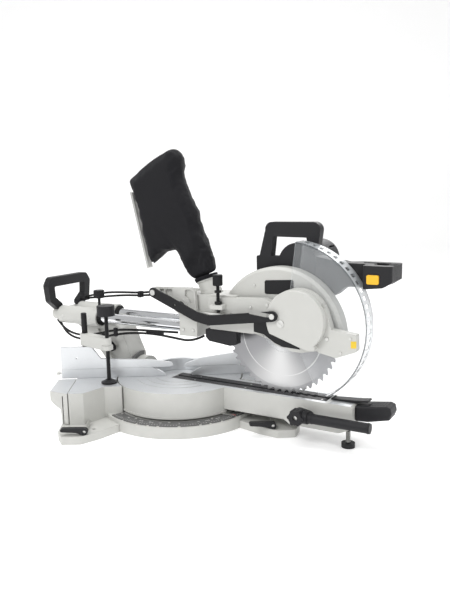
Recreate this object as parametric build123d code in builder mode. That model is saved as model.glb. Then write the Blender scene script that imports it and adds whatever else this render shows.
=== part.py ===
from build123d import *
import os
from math import cos, sin, tan, pi, radians, degrees, hypot, atan2

os.makedirs("parts", exist_ok=True)

# ---------------------------------------------------------------- driving dimensions (mm)
MITER = 57.0            # the arm stands this far to the right of straight ahead
TABLE_Z = 103.0         # height of the cutting surface
SKIRT_R = 212.0         # round skirt of the base
SKIRT_H = 30.0
TURN_R = 170.0          # drum of the turntable
WING_X = 283.0          # outer end of the fixed side tables
FOOT_H = 20.0
BOLT_X, BOLT_Y = 215.0, 175.0   # bench bolt holes, half spacing
BOLT_HOLE_R = 4.5
SEAM_Z = 128.5          # joint between the fixed and the sliding fences
ARM_HALF = 41.0         # half width of the arm
ARM_WAY = 46.0          # half width left free for it
ARM_END = -509.0        # front end of the arm
BLADE_R = 152.5         # 12 inch (305 mm) saw blade
BLADE_HALF = 1.3
TEETH = 48
ARBOR_Y, ARBOR_Z = -311.0, 251.0
GUARD_Y, GUARD_Z = -338.0, 283.0   # pivot of the clear lower guard
GUARD_R = 200.0
PIVOT_Y, PIVOT_Z = -53.0, 312.0    # chop pivot
LINK_Y, LINK_Z = 19.0, 346.0       # pivot of the guard link
PIN_Y, PIN_Z = -326.0, 309.0       # pin that the link's slot runs on
RAIL_X, RAIL_Z, RAIL_R = 40.0, 254.0, 14.0
BARREL_R = 26.0
BARREL_Y0, BARREL_Y1 = 240.0, 388.0
POST_X, POST_Y = -259.0, 18.0      # work clamp post
SCREW_X, SCREW_Y = -188.0, -53.0   # work clamp screw
RUN = 0.06              # radial running clearance of a shaft in its bore
M = radians(MITER)


def swung(x, y, z=0.0):
    """A point of the arm's own frame (x right, y back) in the part's frame."""
    return Vector(x * cos(M) - y * sin(M), x * sin(M) + y * cos(M), z)


ARM_RIGHT = swung(1, 0)
ARM_BACK = swung(0, 1)


def beside(x):
    """Plane parallel to the blade; its sketches are (back, up) and extrude to the right."""
    return Plane(origin=swung(x, 0), x_dir=ARM_BACK, z_dir=ARM_RIGHT)


def above(z):
    """Level plane turned with the arm; its sketches are (right, back)."""
    return Plane(origin=(0, 0, z), x_dir=ARM_RIGHT, z_dir=(0, 0, 1))


def across(y):
    """Upright plane across the arm; its sketches are (left, up) and extrude backwards."""
    return Plane(origin=swung(0, y), x_dir=-ARM_RIGHT, z_dir=ARM_BACK)


def facing(y):
    """Upright plane along the fence; its sketches are (right, up) and extrude forwards."""
    return Plane(origin=(0, y, 0), x_dir=(1, 0, 0), z_dir=(0, -1, 0))


def outline(points, rounding=0.0):
    """A closed straight-sided face, with its corners rounded."""
    with BuildSketch() as shape:
        with BuildLine():
            Polyline(*points, close=True)
        make_face()
        if rounding > 0:
            fillet(shape.vertices(), rounding)
    return shape.sketch


def hull(*circles):
    """The face wrapped round circles given as (x, y, radius)."""
    with BuildSketch() as shape:
        for x, y, radius in circles:
            with Locations((x, y)):
                Circle(radius)
        make_hull()
    return shape.sketch


def polar(radius, degrees_from_x):
    return (radius * cos(radians(degrees_from_x)), radius * sin(radians(degrees_from_x)))


# ================================================================ base
WING = [(-WING_X, -140), (-244, -140), (-197, -88), (-150, -88), (-150, 45), (-WING_X, 45)]
FRONT_FOOT = [(-303, -70), (-303, -186), (-287, -225), (-241, -226), (-200, -195), (-152, -144),
              (-150, -70)]
REAR_FOOT = [(-240, 150), (-240, 198), (-190, 198), (-110, 130), (-160, 30), (-200, 30)]
ROD_Y = (-56.0, -20.0)
ROD_Z = 75.0
ROD_R = 6.0
PIVOT_BOSS_R = 20.0
BOLTS = [(sx * BOLT_X, sy * BOLT_Y) for sx in (-1, 1) for sy in (-1, 1)]


def mirrored(points, side):
    return [(-side * x, y) for x, y in points]


with BuildPart() as base_casting:
    with BuildSketch():
        Circle(SKIRT_R)
    extrude(amount=SKIRT_H)
    for side in (-1, 1):
        with BuildSketch():
            add(outline(mirrored(WING, side), 4))
        extrude(amount=TABLE_Z)
        with BuildSketch():
            add(outline(mirrored(FRONT_FOOT, side), 7))
        extrude(amount=FOOT_H)
        with BuildSketch():
            add(outline(mirrored(REAR_FOOT, side), 8))
        extrude(amount=FOOT_H - 4)
    with BuildSketch(Plane.XY.offset(SKIRT_H)):
        Circle(TURN_R + 4)
    extrude(amount=TABLE_Z, mode=Mode.SUBTRACT)
    with BuildSketch():
        Circle(SKIRT_R - 7)
    extrude(amount=SKIRT_H - 6, mode=Mode.SUBTRACT)
    for side in (-1, 1):
        with BuildSketch():
            add(outline(mirrored(WING, side)))
            offset(amount=-8, kind=Kind.INTERSECTION)
        extrude(amount=TABLE_Z - 9, mode=Mode.SUBTRACT)
    # hub that the turntable turns on, tied to the skirt by ribs
    with BuildSketch():
        Circle(PIVOT_BOSS_R)
        Rectangle(2 * SKIRT_R - 10, 8)
        Rectangle(8, 2 * SKIRT_R - 10)
    extrude(amount=SKIRT_H - 6)
    with BuildSketch(Plane.XY.offset(SKIRT_H - 6)):
        Circle(PIVOT_BOSS_R)
    extrude(amount=50)
    with BuildSketch():
        Circle(6)
    extrude(amount=TABLE_Z, mode=Mode.SUBTRACT)
    # guides for the rods of the extension tables
    for side in (-1, 1):
        for rod_y in ROD_Y:
            with BuildSketch(Plane.YZ.offset(side * (WING_X - 1))):
                with Locations((rod_y, ROD_Z)):
                    Circle(ROD_R + 5)
            extrude(amount=-side * 88)
            with BuildSketch(Plane.YZ.offset(side * (WING_X + 5))):
                with Locations((rod_y, ROD_Z)):
                    Circle(ROD_R + RUN)
            extrude(amount=-side * 120, mode=Mode.SUBTRACT)
    with Locations(*[(x, y, 0) for x, y in BOLTS]):
        Cylinder(BOLT_HOLE_R, 3 * FOOT_H, mode=Mode.SUBTRACT)
    # way of the arm, which swings over the right table's outer half
    with BuildSketch(above(SKIRT_H + 2)):
        with Locations((0, -360)):
            Rectangle(2 * ARM_WAY, 480)
    extrude(amount=TABLE_Z, mode=Mode.SUBTRACT)
    # hole for the work clamp post in the left table
    with Locations((POST_X, POST_Y, TABLE_Z)):
        Cylinder(14, 30)
    with Locations((POST_X, POST_Y, TABLE_Z + 5)):
        Cylinder(8 + RUN, 30, mode=Mode.SUBTRACT)
    with Locations((POST_X, POST_Y, TABLE_Z + 25)):
        Cylinder(20, 50, mode=Mode.SUBTRACT)
base_casting.part.label = "base_casting"
export_step(base_casting.part, "parts/base_casting.step")

DETENTS = (-45, -31.6, -22.5, -15, 0, 15, 22.5, 31.6, 45, 57)
SCALE_IN, SCALE_OUT = 175.0, 207.0
SCALE_HALF = 59.5       # the scale reaches this far each side of straight ahead
with BuildPart() as miter_scale:
    with BuildSketch(Plane.XY.offset(SKIRT_H)):
        Circle(SCALE_OUT)
        Circle(SCALE_IN, mode=Mode.SUBTRACT)
        wedge = [(0, 0), polar(400, -90 - SCALE_HALF), polar(400, -90), polar(400, -90 + SCALE_HALF)]
        add(outline(wedge), mode=Mode.INTERSECT)
        for angle in DETENTS:
            with Locations(Location(polar(SCALE_OUT, angle - 90), angle)):
                Rectangle(7, 14, mode=Mode.SUBTRACT)
    extrude(amount=2)
miter_scale.part.label = "miter_scale"
export_step(miter_scale.part, "parts/miter_scale.step")

with BuildPart() as centre_pivot_bolt:
    with BuildSketch(Plane.XY.offset(4)):
        Circle(6)
    extrude(amount=70)
    with BuildSketch(Plane.XY.offset(SKIRT_H + 44)):
        RegularPolygon(9.5, 6)
    extrude(amount=7)
centre_pivot_bolt.part.label = "centre_pivot_bolt"
export_step(centre_pivot_bolt.part, "parts/centre_pivot_bolt.step")

# ---------------------------------------------------------------- fences
FENCE_T = 12.0
SLIDING_T = 9.0
FENCE_END = 325.0
FENCE_BOLT_X = 205.0
LEAN = tan(radians(61))     # the inner ends lean back so that the mitred blade passes
FENCE_Z = TABLE_Z + 0.4


def blade_way(inner_x, side, depth):
    """Plan of the wedge cut off a fence's inner end."""
    far = inner_x + depth * LEAN
    return outline([(side * inner_x, -1), (side * far, depth), (0, depth), (0, -1)])


with BuildPart() as fixed_fence:
    for side, low, tip, high in ((-1, 40, 36, 75), (1, 34, 30, 62)):
        with BuildSketch(facing(0)):
            add(outline([(side * FENCE_END, FENCE_Z), (side * low, FENCE_Z), (side * tip, 109),
                         (side * high, SEAM_Z), (side * FENCE_END, SEAM_Z)]))
        extrude(amount=-FENCE_T)
        with BuildSketch(Plane.XY.offset(TABLE_Z)):
            add(blade_way(tip, side, FENCE_T + 1))
        extrude(amount=60, mode=Mode.SUBTRACT)
    # bridge behind the blade's way, joining the two halves
    with BuildSketch(Plane.XY.offset(FENCE_Z)):
        Circle(78)
        Circle(63, mode=Mode.SUBTRACT)
        with Locations((0, -100)):
            Rectangle(400, 200 + 2 * 8, mode=Mode.SUBTRACT)
    extrude(amount=SEAM_Z - FENCE_Z)
    with BuildSketch(Plane.XY.offset(SEAM_Z)):
        Circle(78)
        Circle(63, mode=Mode.SUBTRACT)
        with Locations((0, -100)):
            Rectangle(400, 200 + 2 * 18, mode=Mode.SUBTRACT)
    extrude(amount=7)
    # feet bolted down behind the face
    for side in (-1, 1):
        with Locations((side * FENCE_BOLT_X, FENCE_T + 10, FENCE_Z + 4)):
            Box(60, 20, 8)
        with Locations((side * FENCE_BOLT_X, FENCE_T + 10, FENCE_Z + 4)):
            Cylinder(4, 20, mode=Mode.SUBTRACT)
    # notch round the work clamp post
    with Locations((POST_X, POST_Y, SEAM_Z)):
        Cylinder(8.5, 80, mode=Mode.SUBTRACT)
fixed_fence.part.label = "fixed_fence"
export_step(fixed_fence.part, "parts/fixed_fence.step")

SLIDE_Z = SEAM_Z + 0.5
LEFT_FENCE = [(-FENCE_END, SLIDE_Z), (-30, SLIDE_Z), (-15, 133), (-22, 141), (-81, 149.5),
              (-216, 157), (-240, 191), (-FENCE_END, 192)]
RIGHT_FENCE = [(12, SLIDE_Z), (FENCE_END, SLIDE_Z), (FENCE_END, 192), (240, 191), (214, 168),
               (152, 163), (56, 150), (12, 135)]
for name, points, side, tip in (("left_sliding_fence", LEFT_FENCE, -1, 14),
                                ("right_sliding_fence", RIGHT_FENCE, 1, 11)):
    with BuildPart() as sliding_fence:
        with BuildSketch(facing(0)):
            add(outline(points, 2.5))
        extrude(amount=-SLIDING_T)
        with BuildSketch(Plane.XY.offset(TABLE_Z)):
            add(blade_way(tip, side, SLIDING_T + 1))
        extrude(amount=120, mode=Mode.SUBTRACT)
        # tongue behind the fixed fence, which the lock screw presses on
        with Locations((side * 130, SLIDING_T + 6, 138)):
            Box(60, 12, 12)
        with Locations((side * 130, FENCE_T + 3.5, 128)):
            Box(60, 5, 16)
        with Locations((side * 282, 0, 160)):
            Cylinder(2.5, 60, rotation=(90, 0, 0), mode=Mode.SUBTRACT)
    sliding_fence.part.label = name
    export_step(sliding_fence.part, f"parts/{name}.step")

# ---------------------------------------------------------------- extension tables and their levers
EXT_IN, EXT_OUT = WING_X + 1.5, 334.0
LEVER_X, LEVER_Z, LEVER_Y = 232.0, 29.0, -204.0
for name, side in (("left", -1), ("right", 1)):
    with BuildPart() as extension_table:
        with BuildSketch(facing(-4)):
            add(outline([(side * EXT_OUT, TABLE_Z), (side * EXT_IN, TABLE_Z), (side * EXT_IN, 22),
                         (side * 302, 22), (side * 305, 58), (side * 326, 71), (side * EXT_OUT, 80)], 1.5))
        extrude(amount=136)
        with BuildSketch(Plane.XY.offset(20)):
            add(outline([(side * (EXT_OUT + 1), -141), (side * (EXT_OUT + 1), -111),
                         (side * (EXT_IN + 1), -141)]))
        extrude(amount=90, mode=Mode.SUBTRACT)
        with Locations((side * 294, -72, 55)):
            Box(11, 124, 80, mode=Mode.SUBTRACT)
        with Locations((side * 314, -62, 84)):
            Box(24, 92, 24, mode=Mode.SUBTRACT)
        with BuildSketch(above(SKIRT_H + 2)):
            with Locations((0, -360)):
                Rectangle(2 * ARM_WAY, 480)
        extrude(amount=TABLE_Z, mode=Mode.SUBTRACT)
        # rods that it slides on
        for rod_y in ROD_Y:
            with BuildSketch(Plane.YZ.offset(side * EXT_IN)):
                with Locations((rod_y, ROD_Z)):
                    Circle(ROD_R)
            extrude(amount=-side * 95)
    extension_table.part.label = f"{name}_extension_table"
    export_step(extension_table.part, f"parts/{name}_extension_table.step")

    with BuildPart() as extension_lever:
        with BuildSketch(facing(LEVER_Y)):
            add(hull((side * LEVER_X, LEVER_Z, 8.5), (side * LEVER_X - 20, LEVER_Z + 4, 5.5)))
            add(hull((side * LEVER_X - 20, LEVER_Z + 4, 5.5), (side * LEVER_X - 54, LEVER_Z + 5.5, 4.5)))
        extrude(amount=16)
        fillet(extension_lever.edges().filter_by(GeomType.LINE, reverse=True), 1.5)
        with BuildSketch(facing(LEVER_Y + 1)):
            with Locations((side * LEVER_X, LEVER_Z)):
                Circle(4 + RUN)
        extrude(amount=20, mode=Mode.SUBTRACT)
    extension_lever.part.label = f"{name}_extension_lever"
    export_step(extension_lever.part, f"parts/{name}_extension_lever.step")

with BuildPart() as base_fasteners:
    # screws of the miter scale
    for angle in (-56, -38, -8, 27, 54):
        with Locations((*polar(182, angle - 90), SKIRT_H + 2)):
            Cylinder(3.4, 1.6, align=(Align.CENTER, Align.CENTER, Align.MIN))
    for side in (-1, 1):
        # bolt that holds the fixed fence down
        with BuildSketch(Plane.XY.offset(FENCE_Z + 8)):
            with Locations((side * FENCE_BOLT_X, FENCE_T + 10)):
                RegularPolygon(7.5, 6)
        extrude(amount=5.5)
        with BuildSketch(Plane.XY.offset(FENCE_Z + 8)):
            with Locations((side * FENCE_BOLT_X, FENCE_T + 10)):
                Circle(4 - RUN)
        extrude(amount=-8)
        # lock knob at the fence's outer end
        with BuildSketch(Plane.YZ.offset(side * FENCE_END)):
            with Locations((6, 118)):
                Circle(3)
        extrude(amount=side * 6)
        with BuildSketch(Plane.YZ.offset(side * (FENCE_END + 6))):
            with Locations((6, 118)):
                Circle(6)
                with PolarLocations(5.4, 5):
                    Circle(2)
        extrude(amount=side * 8)
        # pin that the extension lever turns on
        with BuildSketch(facing(-140)):
            with Locations((side * LEVER_X, LEVER_Z)):
                Circle(4)
        extrude(amount=-LEVER_Y + 12 - 140)
base_fasteners.part.label = "base_fasteners"
export_step(base_fasteners.part, "parts/base_fasteners.step")

# ---------------------------------------------------------------- work clamp
ARM_Z = 210.0
ARM_LOW, ARM_HIGH = ARM_Z - 17, ARM_Z + 17
REACH = hypot(SCREW_X - POST_X, SCREW_Y - POST_Y)
with BuildPart() as clamp_post:
    with BuildSketch(Plane.XY.offset(TABLE_Z - 9)):
        with Locations((POST_X, POST_Y)):
            Circle(8)
    extrude(amount=283 - TABLE_Z + 9)
    chamfer(clamp_post.edges().sort_by(Axis.Z)[-1], 1.5)
clamp_post.part.label = "clamp_post"
export_step(clamp_post.part, "parts/clamp_post.step")

with BuildPart() as clamp_arm:
    with BuildSketch(Plane.XY.offset(ARM_LOW)):
        add(hull((POST_X, POST_Y, 13), (SCREW_X, SCREW_Y, 11)))
    extrude(amount=ARM_HIGH - ARM_LOW)
    fillet(clamp_arm.edges().filter_by(GeomType.LINE, reverse=True), 2)
    with Locations((POST_X, POST_Y, ARM_Z)):
        Cylinder(8 + RUN, 60, mode=Mode.SUBTRACT)
    with Locations((SCREW_X, SCREW_Y, ARM_Z)):
        Cylinder(5 + RUN, 60, mode=Mode.SUBTRACT)
    with Locations((SCREW_X, SCREW_Y, ARM_LOW + 8)):
        Cylinder(15, 12, mode=Mode.SUBTRACT)
    # black lock button in the arm's pocket
    with BuildSketch(Plane.XY.offset(ARM_LOW + 2.2)):
        with Locations((SCREW_X, SCREW_Y)):
            Circle(14.6)
            Circle(5 + RUN, mode=Mode.SUBTRACT)
    extrude(amount=11.6)
clamp_arm.part.label = "clamp_arm"
export_step(clamp_arm.part, "parts/clamp_arm.step")

with BuildPart() as clamp_screw:
    with BuildSketch(Plane.XY.offset(TABLE_Z + 11)):
        with Locations((SCREW_X, SCREW_Y)):
            Circle(5)
    extrude(amount=287 - TABLE_Z - 11)
clamp_screw.part.label = "clamp_screw"
export_step(clamp_screw.part, "parts/clamp_screw.step")

with BuildPart() as clamp_pad:
    with BuildSketch(Plane.XY.offset(TABLE_Z + 0.5)):
        with Locations((SCREW_X, SCREW_Y)):
            Circle(21)
    extrude(amount=4)
    with BuildSketch(Plane.XY.offset(TABLE_Z + 4.5)):
        with Locations((SCREW_X, SCREW_Y)):
            Circle(19)
    extrude(amount=6.5, taper=58)
    chamfer(clamp_pad.edges().group_by(Axis.Z)[0], 1)
clamp_pad.part.label = "clamp_pad"
export_step(clamp_pad.part, "parts/clamp_pad.step")

with BuildPart() as clamp_knob:
    with BuildSketch(Plane.XY.offset(287)):
        with Locations((SCREW_X, SCREW_Y)):
            Circle(23.5)
            with PolarLocations(24.5, 24):
                Circle(1.4, mode=Mode.SUBTRACT)
    extrude(amount=27)
    chamfer(clamp_knob.edges().filter_by(GeomType.CIRCLE).group_by(Axis.Z)[-1], 1.2)
clamp_knob.part.label = "clamp_knob"
export_step(clamp_knob.part, "parts/clamp_knob.step")

# ================================================================ turntable and arm
SLOT_HALF = 5.0
FOOT_X, FOOT_Y = -29.0, -496.0
HUB_Y, HUB_Z, HUB_PIN_R = -385.0, 70.0, 6.0
TILT_HUB_R = 44.0
ARM_SIDE = [(-100, TABLE_Z), (-504, TABLE_Z), (ARM_END, TABLE_Z - 5), (ARM_END, 68), (-500, 44),
            (-476, 34), (-352, 34), (-335, 45), (-100, 45)]
with BuildPart() as turntable_casting:
    with BuildSketch(Plane.XY.offset(40)):
        Circle(TURN_R)
    extrude(amount=TABLE_Z - 40)
    with BuildSketch(Plane.XY.offset(36)):
        Circle(TURN_R + 2)
    extrude(amount=5)
    with BuildSketch(beside(-ARM_HALF)):
        add(outline(ARM_SIDE))
    extrude(amount=2 * ARM_HALF)
    # hollow from below: drum and arm
    with BuildSketch(Plane.XY.offset(36)):
        Circle(TURN_R - 8)
    extrude(amount=TABLE_Z - 36 - 16, mode=Mode.SUBTRACT)
    with BuildSketch(above(30)):
        with Locations((0, (ARM_END + 8 - 120) / 2)):
            Rectangle(2 * ARM_HALF - 14, -ARM_END - 8 - 120)
    extrude(amount=TABLE_Z - 30 - 16, mode=Mode.SUBTRACT)
    # flat back for the tilting column, and the hub it tilts on
    with BuildSketch(above(30)):
        with Locations((0, 240)):
            Rectangle(190, 200)
    extrude(amount=200, mode=Mode.SUBTRACT)
    with BuildSketch(above(40)):
        with Locations((0, 120)):
            Rectangle(100, 40)
    extrude(amount=TABLE_Z - 40)
    with BuildSketch(across(104)):
        with Locations((0, TABLE_Z)):
            Circle(TILT_HUB_R)
    extrude(amount=36)
    with BuildSketch(across(100)):
        with Locations((0, TABLE_Z)):
            Circle(10)
    extrude(amount=50, mode=Mode.SUBTRACT)
    # centre bearing on the base's hub
    with BuildSketch(Plane.XY.offset(38)):
        Circle(PIVOT_BOSS_R + 9)
    extrude(amount=TABLE_Z - 38 - 6)
    with BuildSketch(Plane.XY.offset(30)):
        Circle(PIVOT_BOSS_R + RUN)
    extrude(amount=52, mode=Mode.SUBTRACT)
    # pocket for the kerf inserts and the blade slot under it
    with BuildSketch(above(TABLE_Z - 5)):
        with Locations((0, (10 - 440) / 2)):
            RectangleRounded(56, 450, 3)
    extrude(amount=10, mode=Mode.SUBTRACT)
    with BuildSketch(above(TABLE_Z - 20)):
        with Locations((0, (-32 - 430) / 2)):
            RectangleRounded(24, 398, 3)
    extrude(amount=20, mode=Mode.SUBTRACT)
    # round grooves turned in the table top
    with BuildSketch(Plane.XY.offset(TABLE_Z - 0.8)):
        for radius in (118, 92, 66):
            Circle(radius + 1.6)
            Circle(radius - 1.6, mode=Mode.SUBTRACT)
        keep = outline([(-8, -6), polar(140, 196), polar(150, 225), polar(150, 270), polar(132, 300),
                        polar(60, 300)])
        add(keep, mode=Mode.INTERSECT)
    extrude(amount=2, mode=Mode.SUBTRACT)
    # threaded boss of the levelling foot, boss of the side lock, recess under the front end
    with BuildSketch(above(44)):
        with Locations((FOOT_X, FOOT_Y)):
            Circle(10)
    extrude(amount=26)
    with BuildSketch(above(20)):
        with Locations((FOOT_X, FOOT_Y)):
            Circle(5 + RUN)
    extrude(amount=66, mode=Mode.SUBTRACT)
    with BuildSketch(beside(-ARM_HALF - 9)):
        with Locations((HUB_Y, HUB_Z)):
            Circle(15)
    extrude(amount=16)
    with BuildSketch(beside(-ARM_HALF - 10)):
        with Locations((HUB_Y, HUB_Z)):
            Circle(HUB_PIN_R)
    extrude(amount=22, mode=Mode.SUBTRACT)
turntable_casting.part.label = "turntable_casting"
export_step(turntable_casting.part, "parts/turntable_casting.step")

INSERT_TOP = TABLE_Z - 0.3
INSERT_Y0, INSERT_Y1 = -438.0, 8.0
INSERT_SCREW_X, INSERT_SCREWS = 16.25, (-60, -215, -425)
with BuildPart() as kerf_inserts:
    for side in (-1, 1):
        with BuildSketch(above(TABLE_Z - 5)):
            with Locations((side * INSERT_SCREW_X, (INSERT_Y0 + INSERT_Y1) / 2)):
                RectangleRounded(22.5, INSERT_Y1 - INSERT_Y0, 1.5)
        extrude(amount=INSERT_TOP - TABLE_Z + 5)
    # fingers along the kerf
    with BuildSketch(above(INSERT_TOP - 2.5)):
        for rib in range(6):
            with Locations((0, -300 - 20 * rib)):
                Rectangle(2 * SLOT_HALF + 9, 9)
    extrude(amount=5, mode=Mode.SUBTRACT)
    with BuildSketch(above(TABLE_Z - 8)):
        for side in (-1, 1):
            for y in INSERT_SCREWS:
                with Locations((side * INSERT_SCREW_X, y)):
                    Circle(3)
    extrude(amount=10, mode=Mode.SUBTRACT)
kerf_inserts.part.label = "kerf_inserts"
export_step(kerf_inserts.part, "parts/kerf_inserts.step")

HUB_X0, HUB_X1 = -88.0, -52.0
with BuildPart() as turntable_fittings:
    # screws of the kerf inserts
    with BuildSketch(above(TABLE_Z - 5)):
        for side in (-1, 1):
            for y in INSERT_SCREWS:
                with Locations((side * INSERT_SCREW_X, y)):
                    Circle(3 - RUN)
    extrude(amount=4.2)
    # pointer over the miter scale
    with BuildSketch(above(34)):
        add(outline([(-52, -152), (-40, -152), (-40, -192), (-44, -200), (-52, -190)]))
    extrude(amount=1.6)
    with BuildSketch(above(34)):
        with Locations((-46, -158)):
            Rectangle(11, 10)
    extrude(amount=2)
    # shaft of the side lock
    with BuildSketch(beside(HUB_X0 + 6)):
        with Locations((HUB_Y, HUB_Z)):
            Circle(HUB_PIN_R)
    extrude(amount=-ARM_HALF - HUB_X0)
turntable_fittings.part.label = "turntable_fittings"
export_step(turntable_fittings.part, "parts/turntable_fittings.step")

with BuildPart() as front_grip:
    with BuildSketch(beside(-25)):
        add(outline([(ARM_END, 101), (-532, 103), (-582, 110), (-592, 106), (-595, 92), (-590, 78),
                     (-540, 66), (ARM_END, 64)], 3))
    extrude(amount=50)
    fillet(front_grip.edges().filter_by(Axis((0, 0, 0), ARM_RIGHT), reverse=True), 5)
    with BuildSketch(beside(-18)):
        for ridge in range(5):
            with Locations((-584 + 8 * ridge, 112.2 - 1.1 * ridge)):
                Circle(2.2)
    extrude(amount=36, mode=Mode.SUBTRACT)
front_grip.part.label = "front_grip"
export_step(front_grip.part, "parts/front_grip.step")

LEVER_PIN_Y, LEVER_PIN_Z = -449.0, TABLE_Z + 3.2
with BuildPart() as detent_lever:
    with BuildSketch(beside(-12)):
        add(outline([(-446, TABLE_Z + 0.8), (-512, TABLE_Z + 0.8), (-518, TABLE_Z + 5), (-536, TABLE_Z + 6),
                     (-540, TABLE_Z + 9), (-536, TABLE_Z + 11), (-512, TABLE_Z + 8), (-470, TABLE_Z + 5),
                     (-446, TABLE_Z + 3)]))
        with Locations((LEVER_PIN_Y, LEVER_PIN_Z)):
            Circle(2.6)
    extrude(amount=24)
    fillet(detent_lever.edges().filter_by(Axis.Z), 0.6)
detent_lever.part.label = "detent_lever"
export_step(detent_lever.part, "parts/detent_lever.step")

with BuildPart() as side_lock_lever:
    with BuildSketch(beside(HUB_X0)):
        with Locations((HUB_Y, HUB_Z)):
            Circle(17)
            with PolarLocations(15.5, 6):
                Circle(4.8)
    extrude(amount=24)
    with BuildSketch(beside(HUB_X0 + 24)):
        add(hull((HUB_Y, HUB_Z, 17), (HUB_Y - 22, HUB_Z - 1, 14)))
    extrude(amount=HUB_X1 - HUB_X0 - 24)
    with BuildSketch(across(HUB_Y - 4)):
        with Locations(((HUB_X0 + HUB_X1) / -2 - 2, HUB_Z - 1)):
            Circle(15)
    extrude(amount=-22)
    with BuildSketch(beside(HUB_X0 - 1)):
        with Locations((HUB_Y, HUB_Z)):
            Circle(HUB_PIN_R + RUN)
    extrude(amount=HUB_X1 - HUB_X0 + 2, mode=Mode.SUBTRACT)
    with BuildSketch(across(HUB_Y - 26)):
        with Locations(((HUB_X0 + HUB_X1) / -2 - 2, HUB_Z - 1)):
            Circle(12)
    extrude(amount=-150)
side_lock_lever.part.label = "side_lock_lever"
export_step(side_lock_lever.part, "parts/side_lock_lever.step")

with BuildPart() as levelling_foot:
    with BuildSketch(above(0.6)):
        with Locations((FOOT_X, FOOT_Y)):
            Circle(16)
            with PolarLocations(17, 16):
                Circle(1.2, mode=Mode.SUBTRACT)
    extrude(amount=11)
    with BuildSketch(above(11)):
        with Locations((FOOT_X, FOOT_Y)):
            Circle(5)
    extrude(amount=48)
levelling_foot.part.label = "levelling_foot"
export_step(levelling_foot.part, "parts/levelling_foot.step")

# ================================================================ bevel column
COLUMN_Y0, COLUMN_Y1 = 140.4, 176.0
BUSH_R = 19.0
SEAL_R = 22.0
NUT_R = 17.0
LOCK_X, LOCK_Y = -34.0, 250.0       # slide lock knob
STUD_Y, STUD_Z = 202.0, 170.0       # stud of the bevel lock lever
with BuildPart() as bevel_column:
    with BuildSketch(across(COLUMN_Y0)):
        with Locations((0, TABLE_Z)):
            Circle(TILT_HUB_R)
    extrude(amount=COLUMN_Y1 - COLUMN_Y0)
    with BuildSketch(beside(-34)):
        add(outline([(COLUMN_Y0, 66), (COLUMN_Y0, 148), (157, 182), (176, 226), (200, 236), (250, 262),
                     (380, 262), (380, 240), (330, 222), (250, 150), (200, 92), (176, 66)]))
    extrude(amount=68)
    for x, depth in ((-26, -10), (26, 10)):
        with BuildSketch(beside(x)):
            add(outline([(168, 112), (168, 150), (190, 190), (206, 220), (262, 220), (252, 190),
                         (206, 128)], 4))
        extrude(amount=depth, mode=Mode.SUBTRACT)
    with BuildSketch(across(COLUMN_Y1)):
        with Locations((0, TABLE_Z)):
            Circle(NUT_R + 4)
    extrude(amount=80, mode=Mode.SUBTRACT)
    for x in (-RAIL_X, RAIL_X):
        with BuildSketch(across(BARREL_Y0)):
            with Locations((x, RAIL_Z)):
                Circle(BARREL_R)
        extrude(amount=BARREL_Y1 - BARREL_Y0)
    for x in (-RAIL_X, RAIL_X):
        with BuildSketch(across(BARREL_Y0 - 60)):
            with Locations((x, RAIL_Z)):
                Circle(BUSH_R)
        extrude(amount=300, mode=Mode.SUBTRACT)
        with BuildSketch(across(BARREL_Y0 - 60)):
            with Locations((x, RAIL_Z)):
                Circle(SEAL_R + 0.5)
        extrude(amount=60, mode=Mode.SUBTRACT)
    with BuildSketch(across(COLUMN_Y0 - 1)):
        with Locations((0, TABLE_Z)):
            Circle(10)
    extrude(amount=90, mode=Mode.SUBTRACT)
    # threaded holes of the slide lock and of the bevel lock
    with BuildSketch(above(RAIL_Z)):
        with Locations((LOCK_X, LOCK_Y)):
            Circle(4 + RUN)
    extrude(amount=40, mode=Mode.SUBTRACT)
    with BuildSketch(beside(-35)):
        with Locations((STUD_Y, STUD_Z)):
            Circle(4 + RUN)
    extrude(amount=24, mode=Mode.SUBTRACT)
bevel_column.part.label = "bevel_column"
export_step(bevel_column.part, "parts/bevel_column.step")

with BuildPart() as bevel_shaft:
    with BuildSketch(across(101)):
        with Locations((0, TABLE_Z)):
            Circle(10 - RUN)
    extrude(amount=COLUMN_Y1 + 20 - 101)
    with BuildSketch(across(COLUMN_Y1 + 0.4)):
        with Locations((0, TABLE_Z)):
            RegularPolygon(NUT_R, 6)
    extrude(amount=14)
bevel_shaft.part.label = "bevel_shaft"
export_step(bevel_shaft.part, "parts/bevel_shaft.step")

with BuildPart() as bevel_scale:
    with BuildSketch(across(130)):
        with Locations((0, TABLE_Z)):
            Circle(TILT_HUB_R + 12)
            Circle(TILT_HUB_R, mode=Mode.SUBTRACT)
        add(outline([(0, TABLE_Z), (-24, TABLE_Z + 90), (80, TABLE_Z + 90), (90, TABLE_Z + 20)]),
            mode=Mode.INTERSECT)
    extrude(amount=6)
bevel_scale.part.label = "bevel_scale"
export_step(bevel_scale.part, "parts/bevel_scale.step")

with BuildPart() as bevel_lock_lever:
    with BuildSketch(beside(-47)):
        add(hull((STUD_Y, STUD_Z, 10), (STUD_Y + 30, STUD_Z + 33, 5.5)))
        with Locations((STUD_Y, STUD_Z)):
            Circle(4 + RUN, mode=Mode.SUBTRACT)
    extrude(amount=10)
bevel_lock_lever.part.label = "bevel_lock_lever"
export_step(bevel_lock_lever.part, "parts/bevel_lock_lever.step")

with BuildPart() as column_fasteners:
    # stud and nut of the bevel lock lever
    with BuildSketch(beside(-51)):
        with Locations((STUD_Y, STUD_Z)):
            Circle(4)
    extrude(amount=51 - 26)
    with BuildSketch(beside(-47.4)):
        with Locations((STUD_Y, STUD_Z)):
            RegularPolygon(6.5, 6)
    extrude(amount=-3)
column_fasteners.part.label = "column_fasteners"
export_step(column_fasteners.part, "parts/column_fasteners.step")

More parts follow.
